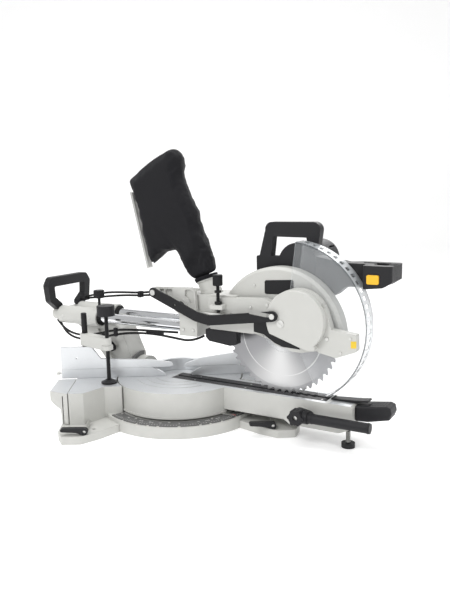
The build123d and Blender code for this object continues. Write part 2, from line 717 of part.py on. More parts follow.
with BuildPart() as rail_bushes:
    for x in (-RAIL_X, RAIL_X):
        for y in (BARREL_Y0, BARREL_Y1 - 40):
            with BuildSketch(across(y)):
                with Locations((x, RAIL_Z)):
                    Circle(BUSH_R)
                    Circle(RAIL_R + RUN, mode=Mode.SUBTRACT)
            extrude(amount=40)
    with BuildSketch(above(RAIL_Z)):
        with Locations((LOCK_X, LOCK_Y)):
            Circle(4 + RUN)
    extrude(amount=40, mode=Mode.SUBTRACT)
rail_bushes.part.label = "rail_bushes"
export_step(rail_bushes.part, "parts/rail_bushes.step")

with BuildPart() as rail_seals:
    for x in (-RAIL_X, RAIL_X):
        for y, reach in ((BARREL_Y0, -4), (BARREL_Y1, 2)):
            with BuildSketch(across(y)):
                with Locations((x, RAIL_Z)):
                    Circle(SEAL_R)
                    Circle(RAIL_R + 0.5, mode=Mode.SUBTRACT)
            extrude(amount=reach)
rail_seals.part.label = "rail_seals"
export_step(rail_seals.part, "parts/rail_seals.step")

with BuildPart() as slide_lock_knob:
    with BuildSketch(above(RAIL_Z + RAIL_R + 0.6)):
        with Locations((LOCK_X, LOCK_Y)):
            Circle(4)
    extrude(amount=44)
    with BuildSketch(above(310)):
        with Locations((LOCK_X, LOCK_Y)):
            Circle(14.5)
    extrude(amount=22)
slide_lock_knob.part.label = "slide_lock_knob"
export_step(slide_lock_knob.part, "parts/slide_lock_knob.step")

# ================================================================ sliding carriage
BLOCK_Y0, BLOCK_Y1 = -100.0, -46.0
BLOCK_Z0, BLOCK_Z1 = 233.5, 282.0
YOKE_Y0, YOKE_Y1 = 392.0, 416.0
CHEEK_IN, CHEEK_OUT = 50.0, 60.0
SHAFT_R = 9.0
SEAT_Z = RAIL_Z + RAIL_R + 0.5      # top of the yoke, where the lifting handle stands
FIT = 0.04              # radial play of a part fixed in its bore
with BuildPart() as slide_rails:
    for x in (-RAIL_X, RAIL_X):
        with BuildSketch(across(BLOCK_Y0 + 2)):
            with Locations((x, RAIL_Z)):
                Circle(RAIL_R)
                Circle(RAIL_R - 4, mode=Mode.SUBTRACT)
        extrude(amount=YOKE_Y1 - 3 - BLOCK_Y0 - 2)
slide_rails.part.label = "slide_rails"
export_step(slide_rails.part, "parts/slide_rails.step")

CHEEK = [(31, 357), (-84, 361), (-96, 352), (-100, 300), (-100, 270), (BLOCK_Y1, 270), (BLOCK_Y1, 289),
         (-30, 300), (31, 340)]
POCKETS = ([(26, 352), (0, 353), (0, 334), (26, 345)],
           [(-4, 353), (-26, 354), (-26, 322), (-4, 331)],
           [(-66, 355), (-84, 356), (-92, 350), (-94, 322), (-80, 318), (-76, 330), (-64, 338)])
with BuildPart() as carriage_bracket:
    with BuildSketch(beside(-CHEEK_OUT)):
        add(outline([(BLOCK_Y0, BLOCK_Z0), (BLOCK_Y1, BLOCK_Z0), (BLOCK_Y1, BLOCK_Z1),
                     (BLOCK_Y0, BLOCK_Z1)]))
    extrude(amount=2 * CHEEK_OUT)
    for x in (-CHEEK_OUT, CHEEK_IN):
        with BuildSketch(beside(x)):
            add(outline(CHEEK))
        extrude(amount=CHEEK_OUT - CHEEK_IN)
    # pockets between the ribs of the left cheek, and the raised ring round the shaft
    with BuildSketch(beside(-CHEEK_OUT)):
        for pocket in POCKETS:
            add(outline(pocket, 2))
    extrude(amount=7, mode=Mode.SUBTRACT)
    # the right cheek stands lower than the left one
    with BuildSketch(beside(CHEEK_IN - 1)):
        add(outline([(60, 341), (-110, 341), (-110, 380), (60, 380)]))
    extrude(amount=20, mode=Mode.SUBTRACT)
    with BuildSketch(beside(-CHEEK_OUT)):
        with Locations((PIVOT_Y, PIVOT_Z)):
            Circle(20)
    extrude(amount=-2)
    with BuildSketch(beside(-CHEEK_OUT - 3)):
        with Locations((PIVOT_Y, PIVOT_Z)):
            Circle(SHAFT_R + FIT)
    extrude(amount=2 * CHEEK_OUT + 6, mode=Mode.SUBTRACT)
    for x in (-RAIL_X, RAIL_X):
        with BuildSketch(across(BLOCK_Y0 + 2)):
            with Locations((x, RAIL_Z)):
                Circle(RAIL_R + FIT)
        extrude(amount=100, mode=Mode.SUBTRACT)
    # stud that carries the guard link
    with BuildSketch(beside(-CHEEK_OUT + 2)):
        with Locations((LINK_Y, LINK_Z)):
            Circle(7)
    extrude(amount=-20)
    with BuildSketch(beside(-CHEEK_OUT - 19)):
        with Locations((LINK_Y, LINK_Z)):
            Circle(3 + FIT)
    extrude(amount=40, mode=Mode.SUBTRACT)
carriage_bracket.part.label = "carriage_bracket"
export_step(carriage_bracket.part, "parts/carriage_bracket.step")

with BuildPart() as chop_shaft:
    with BuildSketch(beside(-CHEEK_OUT + 4)):
        with Locations((PIVOT_Y, PIVOT_Z)):
            Circle(SHAFT_R)
    extrude(amount=2 * CHEEK_OUT - 6)
chop_shaft.part.label = "chop_shaft"
export_step(chop_shaft.part, "parts/chop_shaft.step")

with BuildPart() as rear_yoke:
    with BuildSketch(across(YOKE_Y0)):
        add(hull((-RAIL_X, RAIL_Z, 17), (RAIL_X, RAIL_Z, 17)))
    extrude(amount=YOKE_Y1 - YOKE_Y0)
    with BuildSketch(across(YOKE_Y0 - 1)):
        for x in (-RAIL_X, RAIL_X):
            with Locations((x, RAIL_Z)):
                Circle(RAIL_R + FIT)
    extrude(amount=YOKE_Y1 - YOKE_Y0 - 1.8, mode=Mode.SUBTRACT)
    # seat of the lifting handle
    with BuildSketch(across(YOKE_Y0 - 1)):
        with Locations((0, SEAT_Z + 28)):
            Rectangle(200, 56)
    extrude(amount=40, mode=Mode.SUBTRACT)
rear_yoke.part.label = "rear_yoke"
export_step(rear_yoke.part, "parts/rear_yoke.step")

# lifting handle standing on the yoke, with its grip across the rails
HANDLE = [(-46, 278, 11), (-72, 300, 11), (-76, 340, 12), (-66, 352, 14), (66, 352, 14), (76, 340, 12),
          (72, 300, 11), (46, 278, 11)]
with BuildPart() as rear_handle:
    with BuildSketch(across(YOKE_Y0 + 1)):
        for near, far in zip(HANDLE, HANDLE[1:]):
            add(hull(near, far))
        with Locations((0, SEAT_Z - 20)):
            Rectangle(200, 40, mode=Mode.SUBTRACT)
    extrude(amount=22)
rear_handle.part.label = "rear_handle"
export_step(rear_handle.part, "parts/rear_handle.step")

with BuildPart() as stop_plate:
    with BuildSketch(above(299)):
        add(outline([(-79, -88), (-79, -184), (-61.6, -184), (-61.6, -88)], 2))
    extrude(amount=5)
    with BuildSketch(beside(-CHEEK_OUT - 1.6)):
        add(outline([(-88, 304), (-98, 304), (-98, 286), (-88, 286)]))
    extrude(amount=1.6)
    with BuildSketch(above(299)):
        add(outline([(-62, -88), (-62, -98), (-60, -98), (-60, -88)]))
    extrude(amount=5)
stop_plate.part.label = "stop_plate"
export_step(stop_plate.part, "parts/stop_plate.step")

# ---------------------------------------------------------------- guard link
LINK_X0, LINK_X1 = -84.0, -79.4
LINK_LEN = hypot(PIN_Y - LINK_Y, PIN_Z - LINK_Z)
LINK_DIR = ((PIN_Y - LINK_Y) / LINK_LEN, (PIN_Z - LINK_Z) / LINK_LEN)


def along_link(reach):
    """A point of the side view on the line from the link's pivot to its pin."""
    return (LINK_Y + LINK_DIR[0] * reach, LINK_Z + LINK_DIR[1] * reach)


with BuildPart() as guard_link:
    with BuildSketch(beside(LINK_X0)):
        add(hull((LINK_Y, LINK_Z, 13), (-112, 292, 12.5)))
        add(hull((-112, 292, 12.5), (-150, 285, 12.5)))
        add(hull((-150, 285, 12.5), (*along_link(LINK_LEN), 12.5)))
        add(hull((*along_link(LINK_LEN - 60), 5.2), (*along_link(LINK_LEN + 1), 5.2)), mode=Mode.SUBTRACT)
        with Locations((LINK_Y, LINK_Z)):
            Circle(5 + RUN, mode=Mode.SUBTRACT)
        with Locations((-48, 317)):
            Circle(2.6, mode=Mode.SUBTRACT)
    extrude(amount=LINK_X1 - LINK_X0)
guard_link.part.label = "guard_link"
export_step(guard_link.part, "parts/guard_link.step")

with BuildPart() as link_pivot_screw:
    with BuildSketch(beside(LINK_X0 - 0.4)):
        with Locations((LINK_Y, LINK_Z)):
            Circle(5)
    extrude(amount=-CHEEK_OUT - 18 - LINK_X0 + 0.4)
    with BuildSketch(beside(LINK_X0 - 0.4)):
        with Locations((LINK_Y, LINK_Z)):
            Circle(7.5)
    extrude(amount=-3)
    with BuildSketch(beside(-CHEEK_OUT - 18)):
        with Locations((LINK_Y, LINK_Z)):
            Circle(3)
    extrude(amount=16)
link_pivot_screw.part.label = "link_pivot_screw"
export_step(link_pivot_screw.part, "parts/link_pivot_screw.step")

# ================================================================ head
UPPER_R = 168.0
UPPER_X0, UPPER_X1 = -25.0, 13.0
BODY_X0, BODY_X1 = -56.0, -34.0
CASE_X0, CASE_X1 = 18.0, 58.0
MOTOR_Y, MOTOR_Z = -345.0, 425.0
HUB_R = 27.0
BOSS_R = 60.0
ARBOR_R = 12.5
COVER_Y, COVER_Z, COVER_R = -378.0, 300.0, 73.0
DEPTH_X, DEPTH_Y = -65.0, -168.0
NECK = [(-134, 338), (-290, 345), (-330, 330), (-330, 262), (-254, 256), (-138, 258), (-130, 290)]
NOSE = [(-455, 285), (-521, 277), (-522, 238), (-474, 219), (-429, 228), (-420, 250)]
with BuildPart() as head_casting:
    # upper blade guard: a drum with a chamfered left rim, open below
    with BuildSketch(beside(UPPER_X0)):
        with Locations((ARBOR_Y, ARBOR_Z)):
            Circle(UPPER_R)
    extrude(amount=UPPER_X1 - UPPER_X0)
    chamfer(head_casting.edges().filter_by(GeomType.CIRCLE).sort_by(Axis((0, 0, 0), ARM_RIGHT))[0], 7)
    with BuildSketch(beside(UPPER_X0 - 1)):
        add(outline([(-560, 228), (-430, 226), (-330, 226), (-240, 252), (-100, 257), (-100, 60),
                     (-560, 60)]))
    extrude(amount=60, mode=Mode.SUBTRACT)
    # boss that the lower guard turns on, the body outside it, and the bearing of the arbor
    with BuildSketch(beside(BODY_X1)):
        with Locations((GUARD_Y, GUARD_Z)):
            Circle(BOSS_R)
    extrude(amount=UPPER_X0 - BODY_X1 + 1)
    with BuildSketch(beside(BODY_X0)):
        add(hull((COVER_Y, COVER_Z - 2, 76), (-440, 262, 28)))
        add(outline(NECK))
        add(outline(NOSE, 4))
    extrude(amount=BODY_X1 - BODY_X0)
    with BuildSketch(beside(UPPER_X1 - 3)):
        with Locations((ARBOR_Y, ARBOR_Z)):
            Circle(40)
    extrude(amount=CASE_X0 - UPPER_X1 + 3)
    # neck back to the chop pivot
    with BuildSketch(beside(-46)):
        add(outline([(-103, 342), (-150, 345), (-205, 345), (-205, 262), (-136, 260), (-104, 290)], 3))
        add(hull((PIVOT_Y, PIVOT_Z, HUB_R), (-112, 322, 20)))
    extrude(amount=92)
    # lug of the depth stop
    with BuildSketch(above(313)):
        add(outline([(-77, DEPTH_Y + 18), (-77, DEPTH_Y - 18), (-50, DEPTH_Y - 18), (-50, DEPTH_Y + 18)]))
    extrude(amount=11)
    # space of the blade, with the mouth of the dust chute
    with BuildSketch(beside(-17)):
        with Locations((ARBOR_Y, ARBOR_Z)):
            Circle(158)
    extrude(amount=27, mode=Mode.SUBTRACT)
    with BuildSketch(beside(-48)):
        with Locations((PIVOT_Y, PIVOT_Z)):
            Circle(SHAFT_R + RUN)
    extrude(amount=100, mode=Mode.SUBTRACT)
    with BuildSketch(beside(UPPER_X1 - 5)):
        with Locations((ARBOR_Y, ARBOR_Z)):
            Circle(ARBOR_R + RUN)
    extrude(amount=20, mode=Mode.SUBTRACT)
    with BuildSketch(above(310)):
        with Locations((DEPTH_X, DEPTH_Y)):
            Circle(4 + RUN)
    extrude(amount=20, mode=Mode.SUBTRACT)
head_casting.part.label = "head_casting"
export_step(head_casting.part, "parts/head_casting.step")

with BuildPart() as arbor_cover:
    with BuildSketch(beside(-76)):
        with Locations((COVER_Y, COVER_Z)):
            Circle(COVER_R)
        add(hull((-400, 250, 20), (-424, 240, 6), (-360, 240, 6)))
        add(outline([(-280, 277), (-425, 227), (-425, 180), (-280, 180)]), mode=Mode.SUBTRACT)
    extrude(amount=20)
    fillet(arbor_cover.faces().sort_by(Axis((0, 0, 0), ARM_RIGHT))[0].edges(), 3)
arbor_cover.part.label = "arbor_cover"
export_step(arbor_cover.part, "parts/arbor_cover.step")

with BuildPart() as head_fasteners:
    # slotted bolt of the cover
    with BuildSketch(beside(-76)):
        with Locations((-344, 292)):
            Circle(9)
    extrude(amount=-2)
    with BuildSketch(beside(-78)):
        with Locations(Location((-344, 292), 35)):
            Rectangle(20, 2)
    extrude(amount=1, mode=Mode.SUBTRACT)
    # pin that runs in the guard link's slot
    with BuildSketch(beside(-76)):
        with Locations((PIN_Y, PIN_Z)):
            Circle(3.4)
    extrude(amount=-9)
    with BuildSketch(beside(LINK_X0 - 0.5)):
        with Locations((PIN_Y, PIN_Z)):
            Circle(6.8)
    extrude(amount=-2.5)
head_fasteners.part.label = "head_fasteners"
export_step(head_fasteners.part, "parts/head_fasteners.step")

with BuildPart() as junction_box:
    with BuildSketch(beside(-57)):
        add(outline([(-214, 256), (-214, 224), (-196, 219), (-134, 226), (-124, 236), (-124, 257)], 3))
    extrude(amount=22)
junction_box.part.label = "junction_box"
export_step(junction_box.part, "parts/junction_box.step")

with BuildPart() as depth_stop:
    with BuildSketch(above(304.5)):
        with Locations((DEPTH_X, DEPTH_Y)):
            Circle(4)
    extrude(amount=90)
    with BuildSketch(above(324.6)):
        with Locations((DEPTH_X, DEPTH_Y)):
            RegularPolygon(9, 6)
    extrude(amount=7)
    with BuildSketch(above(354)):
        with Locations((DEPTH_X, DEPTH_Y)):
            RegularPolygon(8.5, 6)
    extrude(amount=6)
    with BuildSketch(above(372)):
        with Locations((DEPTH_X, DEPTH_Y)):
            Circle(12)
    extrude(amount=27)
depth_stop.part.label = "depth_stop"
export_step(depth_stop.part, "parts/depth_stop.step")

with BuildPart() as belt_case:
    with BuildSketch(beside(CASE_X0)):
        add(hull((ARBOR_Y, ARBOR_Z, 42), (MOTOR_Y, MOTOR_Z, 50)))
    extrude(amount=CASE_X1 - CASE_X0)
    with BuildSketch(beside(CASE_X0 + 6)):
        add(hull((ARBOR_Y, ARBOR_Z, 36), (MOTOR_Y, MOTOR_Z, 44)))
    extrude(amount=CASE_X1 - CASE_X0 - 12, mode=Mode.SUBTRACT)
    with BuildSketch(beside(CASE_X0 - 1)):
        with Locations((ARBOR_Y, ARBOR_Z)):
            Circle(ARBOR_R + RUN)
    extrude(amount=8, mode=Mode.SUBTRACT)
belt_case.part.label = "belt_case"
export_step(belt_case.part, "parts/belt_case.step")

MOTOR_R, MOTOR_X1 = 50.0, 182.0
with BuildPart() as motor_housing:
    with BuildSketch(beside(CASE_X1)):
        with Locations((MOTOR_Y, MOTOR_Z)):
            Circle(MOTOR_R)
    extrude(amount=MOTOR_X1 - CASE_X1)
    chamfer(motor_housing.edges().filter_by(GeomType.CIRCLE).sort_by(Axis((0, 0, 0), ARM_RIGHT))[-1], 8)
    with BuildSketch(beside(CASE_X1 + 4)):
        with Locations((MOTOR_Y, MOTOR_Z)):
            Circle(MOTOR_R - 5)
    extrude(amount=MOTOR_X1 - CASE_X1 - 9, mode=Mode.SUBTRACT)
    # air slots round the outer end
    for slot in range(9):
        with BuildSketch(beside(132)):
            with Locations(Location((MOTOR_Y, MOTOR_Z), 20 + 40 * slot)):
                Rectangle(2 * MOTOR_R + 4, 5, align=(Align.MIN, Align.CENTER))
        extrude(amount=34, mode=Mode.SUBTRACT)
motor_housing.part.label = "motor_housing"
export_step(motor_housing.part, "parts/motor_housing.step")

with BuildPart() as carry_handle:
    with BuildSketch(beside(CASE_X0 + 4)):
        add(outline([(-232, 402), (-320, 402), (-320, 441), (-232, 441)], 4))
        add(hull((-254, 425, 17), (-268, 500, 12)))
        add(hull((-275, 507, 18), (-384, 506, 19)))
        add(hull((-384, 506, 19), (-384, 470, 14)))
        add(hull((ARBOR_Y, ARBOR_Z, 42.3), (MOTOR_Y, MOTOR_Z, 50.3)), mode=Mode.SUBTRACT)
    extrude(amount=24)
carry_handle.part.label = "carry_handle"
export_step(carry_handle.part, "parts/carry_handle.step")

# ---------------------------------------------------------------- operating handle
SPLIT_X = 30.0
LOOP = [(-16, -586), (76, -586), (76, -498), (60, -468), (60, -388), (18.5, -388), (18.5, -519),
        (-16, -519)]
WINDOW = [(6, -573), (54, -573), (54, -502), (38, -502), (38, -538), (6, -538)]
PROFILE = [(-380, 350), (-380, 446), (-468, 430), (-586, 429), (-598, 418), (-598, 401), (-566, 380),
           (-530, 376), (-468, 374), (-440, 350)]
with BuildPart() as whole_handle:
    with BuildSketch(above(340)):
        add(outline(LOOP, 8))
        add(outline(WINDOW, 6), mode=Mode.SUBTRACT)
    extrude(amount=110)
    with BuildSketch(beside(-30)):
        add(outline(PROFILE, 6))
    extrude(amount=120, mode=Mode.INTERSECT)
    with BuildSketch(beside(0)):
        add(hull((ARBOR_Y, ARBOR_Z, 42.3), (MOTOR_Y, MOTOR_Z, 50.3)))
    extrude(amount=80, mode=Mode.SUBTRACT)
    # pockets of the trigger and of the lock-off button
    with BuildSketch(above(394.6)):
        add(outline([(14.6, -579), (45.4, -579), (45.4, -560), (14.6, -560)]))
    extrude(amount=25.8, mode=Mode.SUBTRACT)
    with BuildSketch(beside(-20)):
        add(outline([(-558.4, 387.6), (-529.6, 387.6), (-529.6, 409.4), (-558.4, 409.4)], 4.4))
    extrude(amount=11, mode=Mode.SUBTRACT)
for name, x0, x1 in (("handle_left", -40, SPLIT_X), ("handle_right", SPLIT_X, 100)):
    with BuildPart() as handle_shell:
        add(whole_handle.part)
        with BuildSketch(above(300)):
            add(outline([(x0, -700), (x1, -700), (x1, -300), (x0, -300)]))
        extrude(amount=200, mode=Mode.INTERSECT)
    handle_shell.part.label = name
    export_step(handle_shell.part, f"parts/{name}.step")

with BuildPart() as trigger:
    with BuildSketch(above(395)):
        add(outline([(15, -573), (45, -573), (45, -565), (40, -561), (20, -561), (15, -565)]))
    extrude(amount=25)
trigger.part.label = "trigger"
export_step(trigger.part, "parts/trigger.step")

with BuildPart() as lock_off_button:
    with BuildSketch(beside(-19)):
        add(outline([(-558, 388), (-530, 388), (-530, 409), (-558, 409)], 4))
    extrude(amount=6)
lock_off_button.part.label = "lock_off_button"
export_step(lock_off_button.part, "parts/lock_off_button.step")

# ---------------------------------------------------------------- dust port and bag
PORT_Y, PORT_Z, PORT_LEAN = -109.0, 341.0, radians(20)
PORT_R, CUFF_R, PORT_LEN = 26.0, 29.0, 46.0
PORT_UP = ARM_BACK * sin(PORT_LEAN) + Vector(0, 0, cos(PORT_LEAN))


def port_plane(reach):
    """Plane square to the dust port, some way along it."""
    return Plane(origin=swung(0, PORT_Y, PORT_Z) + PORT_UP * reach, x_dir=ARM_RIGHT, z_dir=PORT_UP)


with BuildPart() as dust_port:
    for reach, radius, height in ((-6, 30, 14), (0, PORT_R, PORT_LEN), (PORT_LEN - 12, CUFF_R, 12)):
        with BuildSketch(port_plane(reach)):
            Circle(radius)
        extrude(amount=height)
    with BuildSketch(port_plane(-10)):
        Circle(PORT_R - 3)
    extrude(amount=PORT_LEN + 20, mode=Mode.SUBTRACT)
    # seat on the neck and round the hub
    with BuildSketch(beside(-60)):
        add(outline([(-103, 342.2), (-150, 345.2), (-205, 345.2), (-205, 262), (-100, 262), (-60, 300),
                     (-60, 341.6)]))
        add(hull((PIVOT_Y, PIVOT_Z, HUB_R + 0.2), (-112, 322, 20.2)))
    extrude(amount=120, mode=Mode.SUBTRACT)
dust_port.part.label = "dust_port"
export_step(dust_port.part, "parts/dust_port.step")

BAG = [(-124, 400), (-100, 480), (-78, 555), (-43, 637), (-30, 696), (-12, 712), (4, 712), (37, 699),
       (78, 679), (137, 641), (81, 412), (31, 438), (-2, 444), (-12, 438), (-25, 415), (-45, 387), (-66, 372)]
BAG_HALF = 38.0
with BuildPart() as dust_bag:
    with BuildSketch(beside(0)):
        add(outline(BAG, 3))
    extrude(amount=BAG_HALF, taper=12, both=True)
    with BuildSketch(port_plane(-20)):
        Circle(CUFF_R + 12)
    extrude(amount=20 + PORT_LEN + 0.4, mode=Mode.SUBTRACT)
dust_bag.part.label = "dust_bag"
export_step(dust_bag.part, "parts/dust_bag.step")

with BuildPart() as bag_clip:
    with BuildSketch(beside(-9)):
        add(hull((136.8, 604, 3.2), (89.2, 402, 3.2)))
    extrude(amount=18)
bag_clip.part.label = "bag_clip"
export_step(bag_clip.part, "parts/bag_clip.step")

# ---------------------------------------------------------------- spindle and blade
with BuildPart() as arbor_shaft:
    with BuildSketch(beside(-BLADE_HALF)):
        with Locations((ARBOR_Y, ARBOR_Z)):
            Circle(ARBOR_R)
    extrude(amount=48 + BLADE_HALF)
    with BuildSketch(beside(BLADE_HALF)):
        with Locations((ARBOR_Y, ARBOR_Z)):
            Circle(30)
    extrude(amount=6)
    with BuildSketch(beside(30)):
        with Locations((ARBOR_Y, ARBOR_Z)):
            Circle(24)
    extrude(amount=14)
arbor_shaft.part.label = "arbor_shaft"
export_step(arbor_shaft.part, "parts/arbor_shaft.step")

with BuildPart() as blade_fastening:
    with BuildSketch(beside(-BLADE_HALF)):
        with Locations((ARBOR_Y, ARBOR_Z)):
            Circle(28)
    extrude(amount=-6)
    with BuildSketch(beside(-BLADE_HALF - 6)):
        with Locations((ARBOR_Y, ARBOR_Z)):
            RegularPolygon(9, 6)
    extrude(amount=-6)
blade_fastening.part.label = "blade_fastening"
export_step(blade_fastening.part, "parts/blade_fastening.step")

PITCH = 360 / TEETH
with BuildPart() as saw_blade:
    with BuildSketch(beside(-BLADE_HALF)):
        with BuildLine():
            rim = []
            for tooth in range(TEETH):
                at = tooth * PITCH
                for radius, ahead in ((BLADE_R, 0.0), (BLADE_R - 8, 0.4), (BLADE_R - 10, 2.0),
                                      (BLADE_R - 7, 3.4), (BLADE_R - 1.4, 5.6)):
                    y, z = polar(radius, at + ahead)
                    rim.append((ARBOR_Y + y, ARBOR_Z + z))
            Polyline(*rim, close=True)
        make_face()
        with Locations((ARBOR_Y, ARBOR_Z)):
            Circle(ARBOR_R + RUN, mode=Mode.SUBTRACT)
    extrude(amount=2 * BLADE_HALF)
saw_blade.part.label = "saw_blade"
export_step(saw_blade.part, "parts/saw_blade.step")

# ---------------------------------------------------------------- clear lower guard
SWEEP_FROM, SWEEP_TO = 7, 153       # degrees from straight up towards the front
WALL_X0, WALL_X1, RIM_X1 = -31.0, -28.5, 17.0


def guard_sector(radius):
    """A fan of the side view between the guard's two edges."""
    fan = [(GUARD_Y, GUARD_Z)]
    for step in range(10):
        turn = radians(SWEEP_FROM + step * (SWEEP_TO - SWEEP_FROM) / 9)
        fan.append((GUARD_Y - radius * sin(turn), GUARD_Z + radius * cos(turn)))
    return outline(fan)


with BuildPart() as lower_guard:
    with BuildSketch(beside(WALL_X0)):
        with Locations((GUARD_Y, GUARD_Z)):
            Circle(GUARD_R)
        add(guard_sector(1.2 * GUARD_R), mode=Mode.INTERSECT)
        with Locations((GUARD_Y, GUARD_Z)):
            Circle(BOSS_R + 12)
    extrude(amount=RIM_X1 - WALL_X0)
    with BuildSketch(beside(WALL_X1)):
        with Locations((GUARD_Y, GUARD_Z)):
            Circle(GUARD_R - 3)
    extrude(amount=14.5 - WALL_X1, mode=Mode.SUBTRACT)
    with BuildSketch(beside(14)):
        with Locations((GUARD_Y, GUARD_Z)):
            Circle(96)
    extrude(amount=10, mode=Mode.SUBTRACT)
    with BuildSketch(beside(WALL_X0 - 1)):
        with Locations((GUARD_Y, GUARD_Z)):
            Circle(BOSS_R + RUN)
    extrude(amount=10, mode=Mode.SUBTRACT)
    # square holes through the rim
    for hole in range(21):
        turn = radians(13 + 5.6 * hole)
        foot = swung(0, GUARD_Y - GUARD_R * sin(turn), GUARD_Z + GUARD_R * cos(turn))
        out = ARM_BACK * -sin(turn) + Vector(0, 0, cos(turn))
        with BuildSketch(Plane(origin=foot - out * 8, x_dir=ARM_RIGHT, z_dir=out)):
            with Locations((-10, 0)):
                Rectangle(20, 10)
        extrude(amount=16, mode=Mode.SUBTRACT)
    # foot of the guard, cut clear of the table when the head is tilted
    with BuildSketch(across(-600)):
        add(outline([(-60, 104.5), (0, 104.5), (60, 131), (60, 20), (-60, 20)]))
    extrude(amount=500, mode=Mode.SUBTRACT)
lower_guard.part.label = "lower_guard"
export_step(lower_guard.part, "parts/lower_guard.step")

# ---------------------------------------------------------------- leads
LEAD_R = 3.2


def lead(name, strands):
    """Round leads through bent paths given as (x, y, z) points with a bend radius for each corner."""
    with BuildPart() as cable:
        for points, bend in strands:
            with BuildLine() as path:
                FilletPolyline(*[swung(*point) for point in points], radius=bend)
            start = path.line
            with BuildSketch(Plane(origin=start @ 0, z_dir=start % 0)):
                Circle(LEAD_R)
            sweep(path=path.line)
    cable.part.label = name
    export_step(cable.part, f"parts/{name}.step")
    total = sum(solid.volume for solid in cable.part.solids())
    print(name, round(total / (pi * LEAD_R ** 2), 1), len(cable.part.solids()))


lead("upper_leads", [([(50, 392, 290), (47, 340, 302), (47, 290, 312), (47, 230, 316), (47, 165, 318),
                       (47, 100, 326), (52, 40, 330)], 60),
                     ([(58, 392, 286), (56, 340, 292), (55, 290, 299), (54, 230, 306), (54, 165, 309),
                       (54, 100, 316), (56, 40, 322)], 60)])
lead("lower_leads", [([(-50, 402, 236.5), (-58, 378, 221), (-66, 338, 207), (-68, 290, 202),
                       (-68, 230, 213), (-67, 166, 230), (-66, 100, 236), (-66, 30, 238.5),
                       (-64, -42, 241)], 30),
                     ([(-42, 402, 234.5), (-54, 378, 214), (-66, 338, 196), (-68, 290, 190),
                       (-68, 230, 200), (-67, 166, 217), (-66, 100, 227.5), (-66, 30, 230.5),
                       (-66, -30, 226), (-65, -88, 221), (-56, -119, 238)], 30)])
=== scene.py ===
import math

import bmesh
import bpy
from mathutils import Matrix, Vector


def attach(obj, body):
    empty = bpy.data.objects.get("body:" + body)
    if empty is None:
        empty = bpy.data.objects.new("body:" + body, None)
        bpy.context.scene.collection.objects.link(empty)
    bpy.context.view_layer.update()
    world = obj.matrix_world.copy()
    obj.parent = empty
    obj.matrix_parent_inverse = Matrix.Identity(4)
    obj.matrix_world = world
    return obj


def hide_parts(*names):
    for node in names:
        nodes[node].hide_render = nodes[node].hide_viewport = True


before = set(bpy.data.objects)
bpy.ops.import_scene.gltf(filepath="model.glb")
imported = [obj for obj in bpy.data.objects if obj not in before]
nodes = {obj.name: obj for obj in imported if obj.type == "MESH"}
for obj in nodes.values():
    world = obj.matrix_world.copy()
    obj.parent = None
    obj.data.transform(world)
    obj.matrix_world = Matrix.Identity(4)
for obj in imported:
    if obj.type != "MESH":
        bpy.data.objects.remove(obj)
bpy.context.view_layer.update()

# ------------------------------------------------------------------ frames and small helpers
MM = 0.001
MITER = math.radians(57)        # the arm stands this far to the right of straight ahead
TABLE_Z = 103.0
ARBOR = (-311.0, 251.0)
GUARD = (-338.0, 283.0)
PIVOT = (-53.0, 312.0)
SCRIBED_R, SCRIBED_HALF = 0.1075, 0.0009   # ring scribed on the blade, in metres
BODY_R = 0.1365            # inner edge of the blade's darker, toothed band
RIM_INNER_R = 0.1964       # inner face of the clear guard's rim
PAINTED_SHEEN_TURN = 3.0           # where the painted sheen, a highlight painted into the blade's colour, lies round the arbor


def swung(x, y, z=0.0):
    """A point of the arm's own frame (x right, y back, z up, in mm) in the row's frame, in metres."""
    return Vector((x * math.cos(MITER) - y * math.sin(MITER),
                   x * math.sin(MITER) + y * math.cos(MITER), z)) * MM


RIGHT = swung(1, 0).normalized()
BACK = swung(0, 1).normalized()
UP = Vector((0, 0, 1))


def placed(name, mesh_or_data, body, material):
    """Links a new object and makes it ride on a body."""
    piece = bpy.data.objects.new(name, mesh_or_data)
    bpy.context.scene.collection.objects.link(piece)
    if hasattr(mesh_or_data, "materials"):
        mesh_or_data.materials.append(material)
    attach(piece, body)
    return piece


def smooth(mesh, angle=35.0):
    """Smooth shading, with edges sharper than the angle kept."""
    shape = bmesh.new()
    shape.from_mesh(mesh)
    for face in shape.faces:
        face.smooth = True
    for edge in shape.edges:
        edge.smooth = len(edge.link_faces) == 2 and edge.calc_face_angle(0.0) < math.radians(angle)
    shape.to_mesh(mesh)
    shape.free()


def drum(shape, start, end, radius, end_radius=None, sides=24):
    """Adds a closed cylinder or cone between two points, in metres."""
    axis = (end - start).normalized()
    side = axis.cross(UP if abs(axis.z) < 0.9 else RIGHT).normalized()
    other = axis.cross(side)
    rings = []
    for centre, r in ((start, radius), (end, radius if end_radius is None else end_radius)):
        rings.append([shape.verts.new(centre + (side * math.cos(a) + other * math.sin(a)) * r)
                      for a in (2 * math.pi * i / sides for i in range(sides))])
    for i in range(sides):
        j = (i + 1) % sides
        shape.faces.new((rings[0][i], rings[0][j], rings[1][j], rings[1][i]))
    shape.faces.new(tuple(reversed(rings[0])))
    shape.faces.new(tuple(rings[1]))


def slab(shape, centre, across, along, up, sizes):
    """Adds a closed box with the given axes and full sizes, in metres."""
    corners = {}
    for i in (-1, 1):
        for j in (-1, 1):
            for k in (-1, 1):
                corners[i, j, k] = shape.verts.new(
                    centre + across * i * sizes[0] / 2 + along * j * sizes[1] / 2 + up * k * sizes[2] / 2)
    for fixed in range(3):
        for value in (-1, 1):
            loop = [(-1, -1), (1, -1), (1, 1), (-1, 1)]
            face = [corners[tuple(pair[:fixed] + (value,) + pair[fixed:])] for pair in loop]
            shape.faces.new(face)


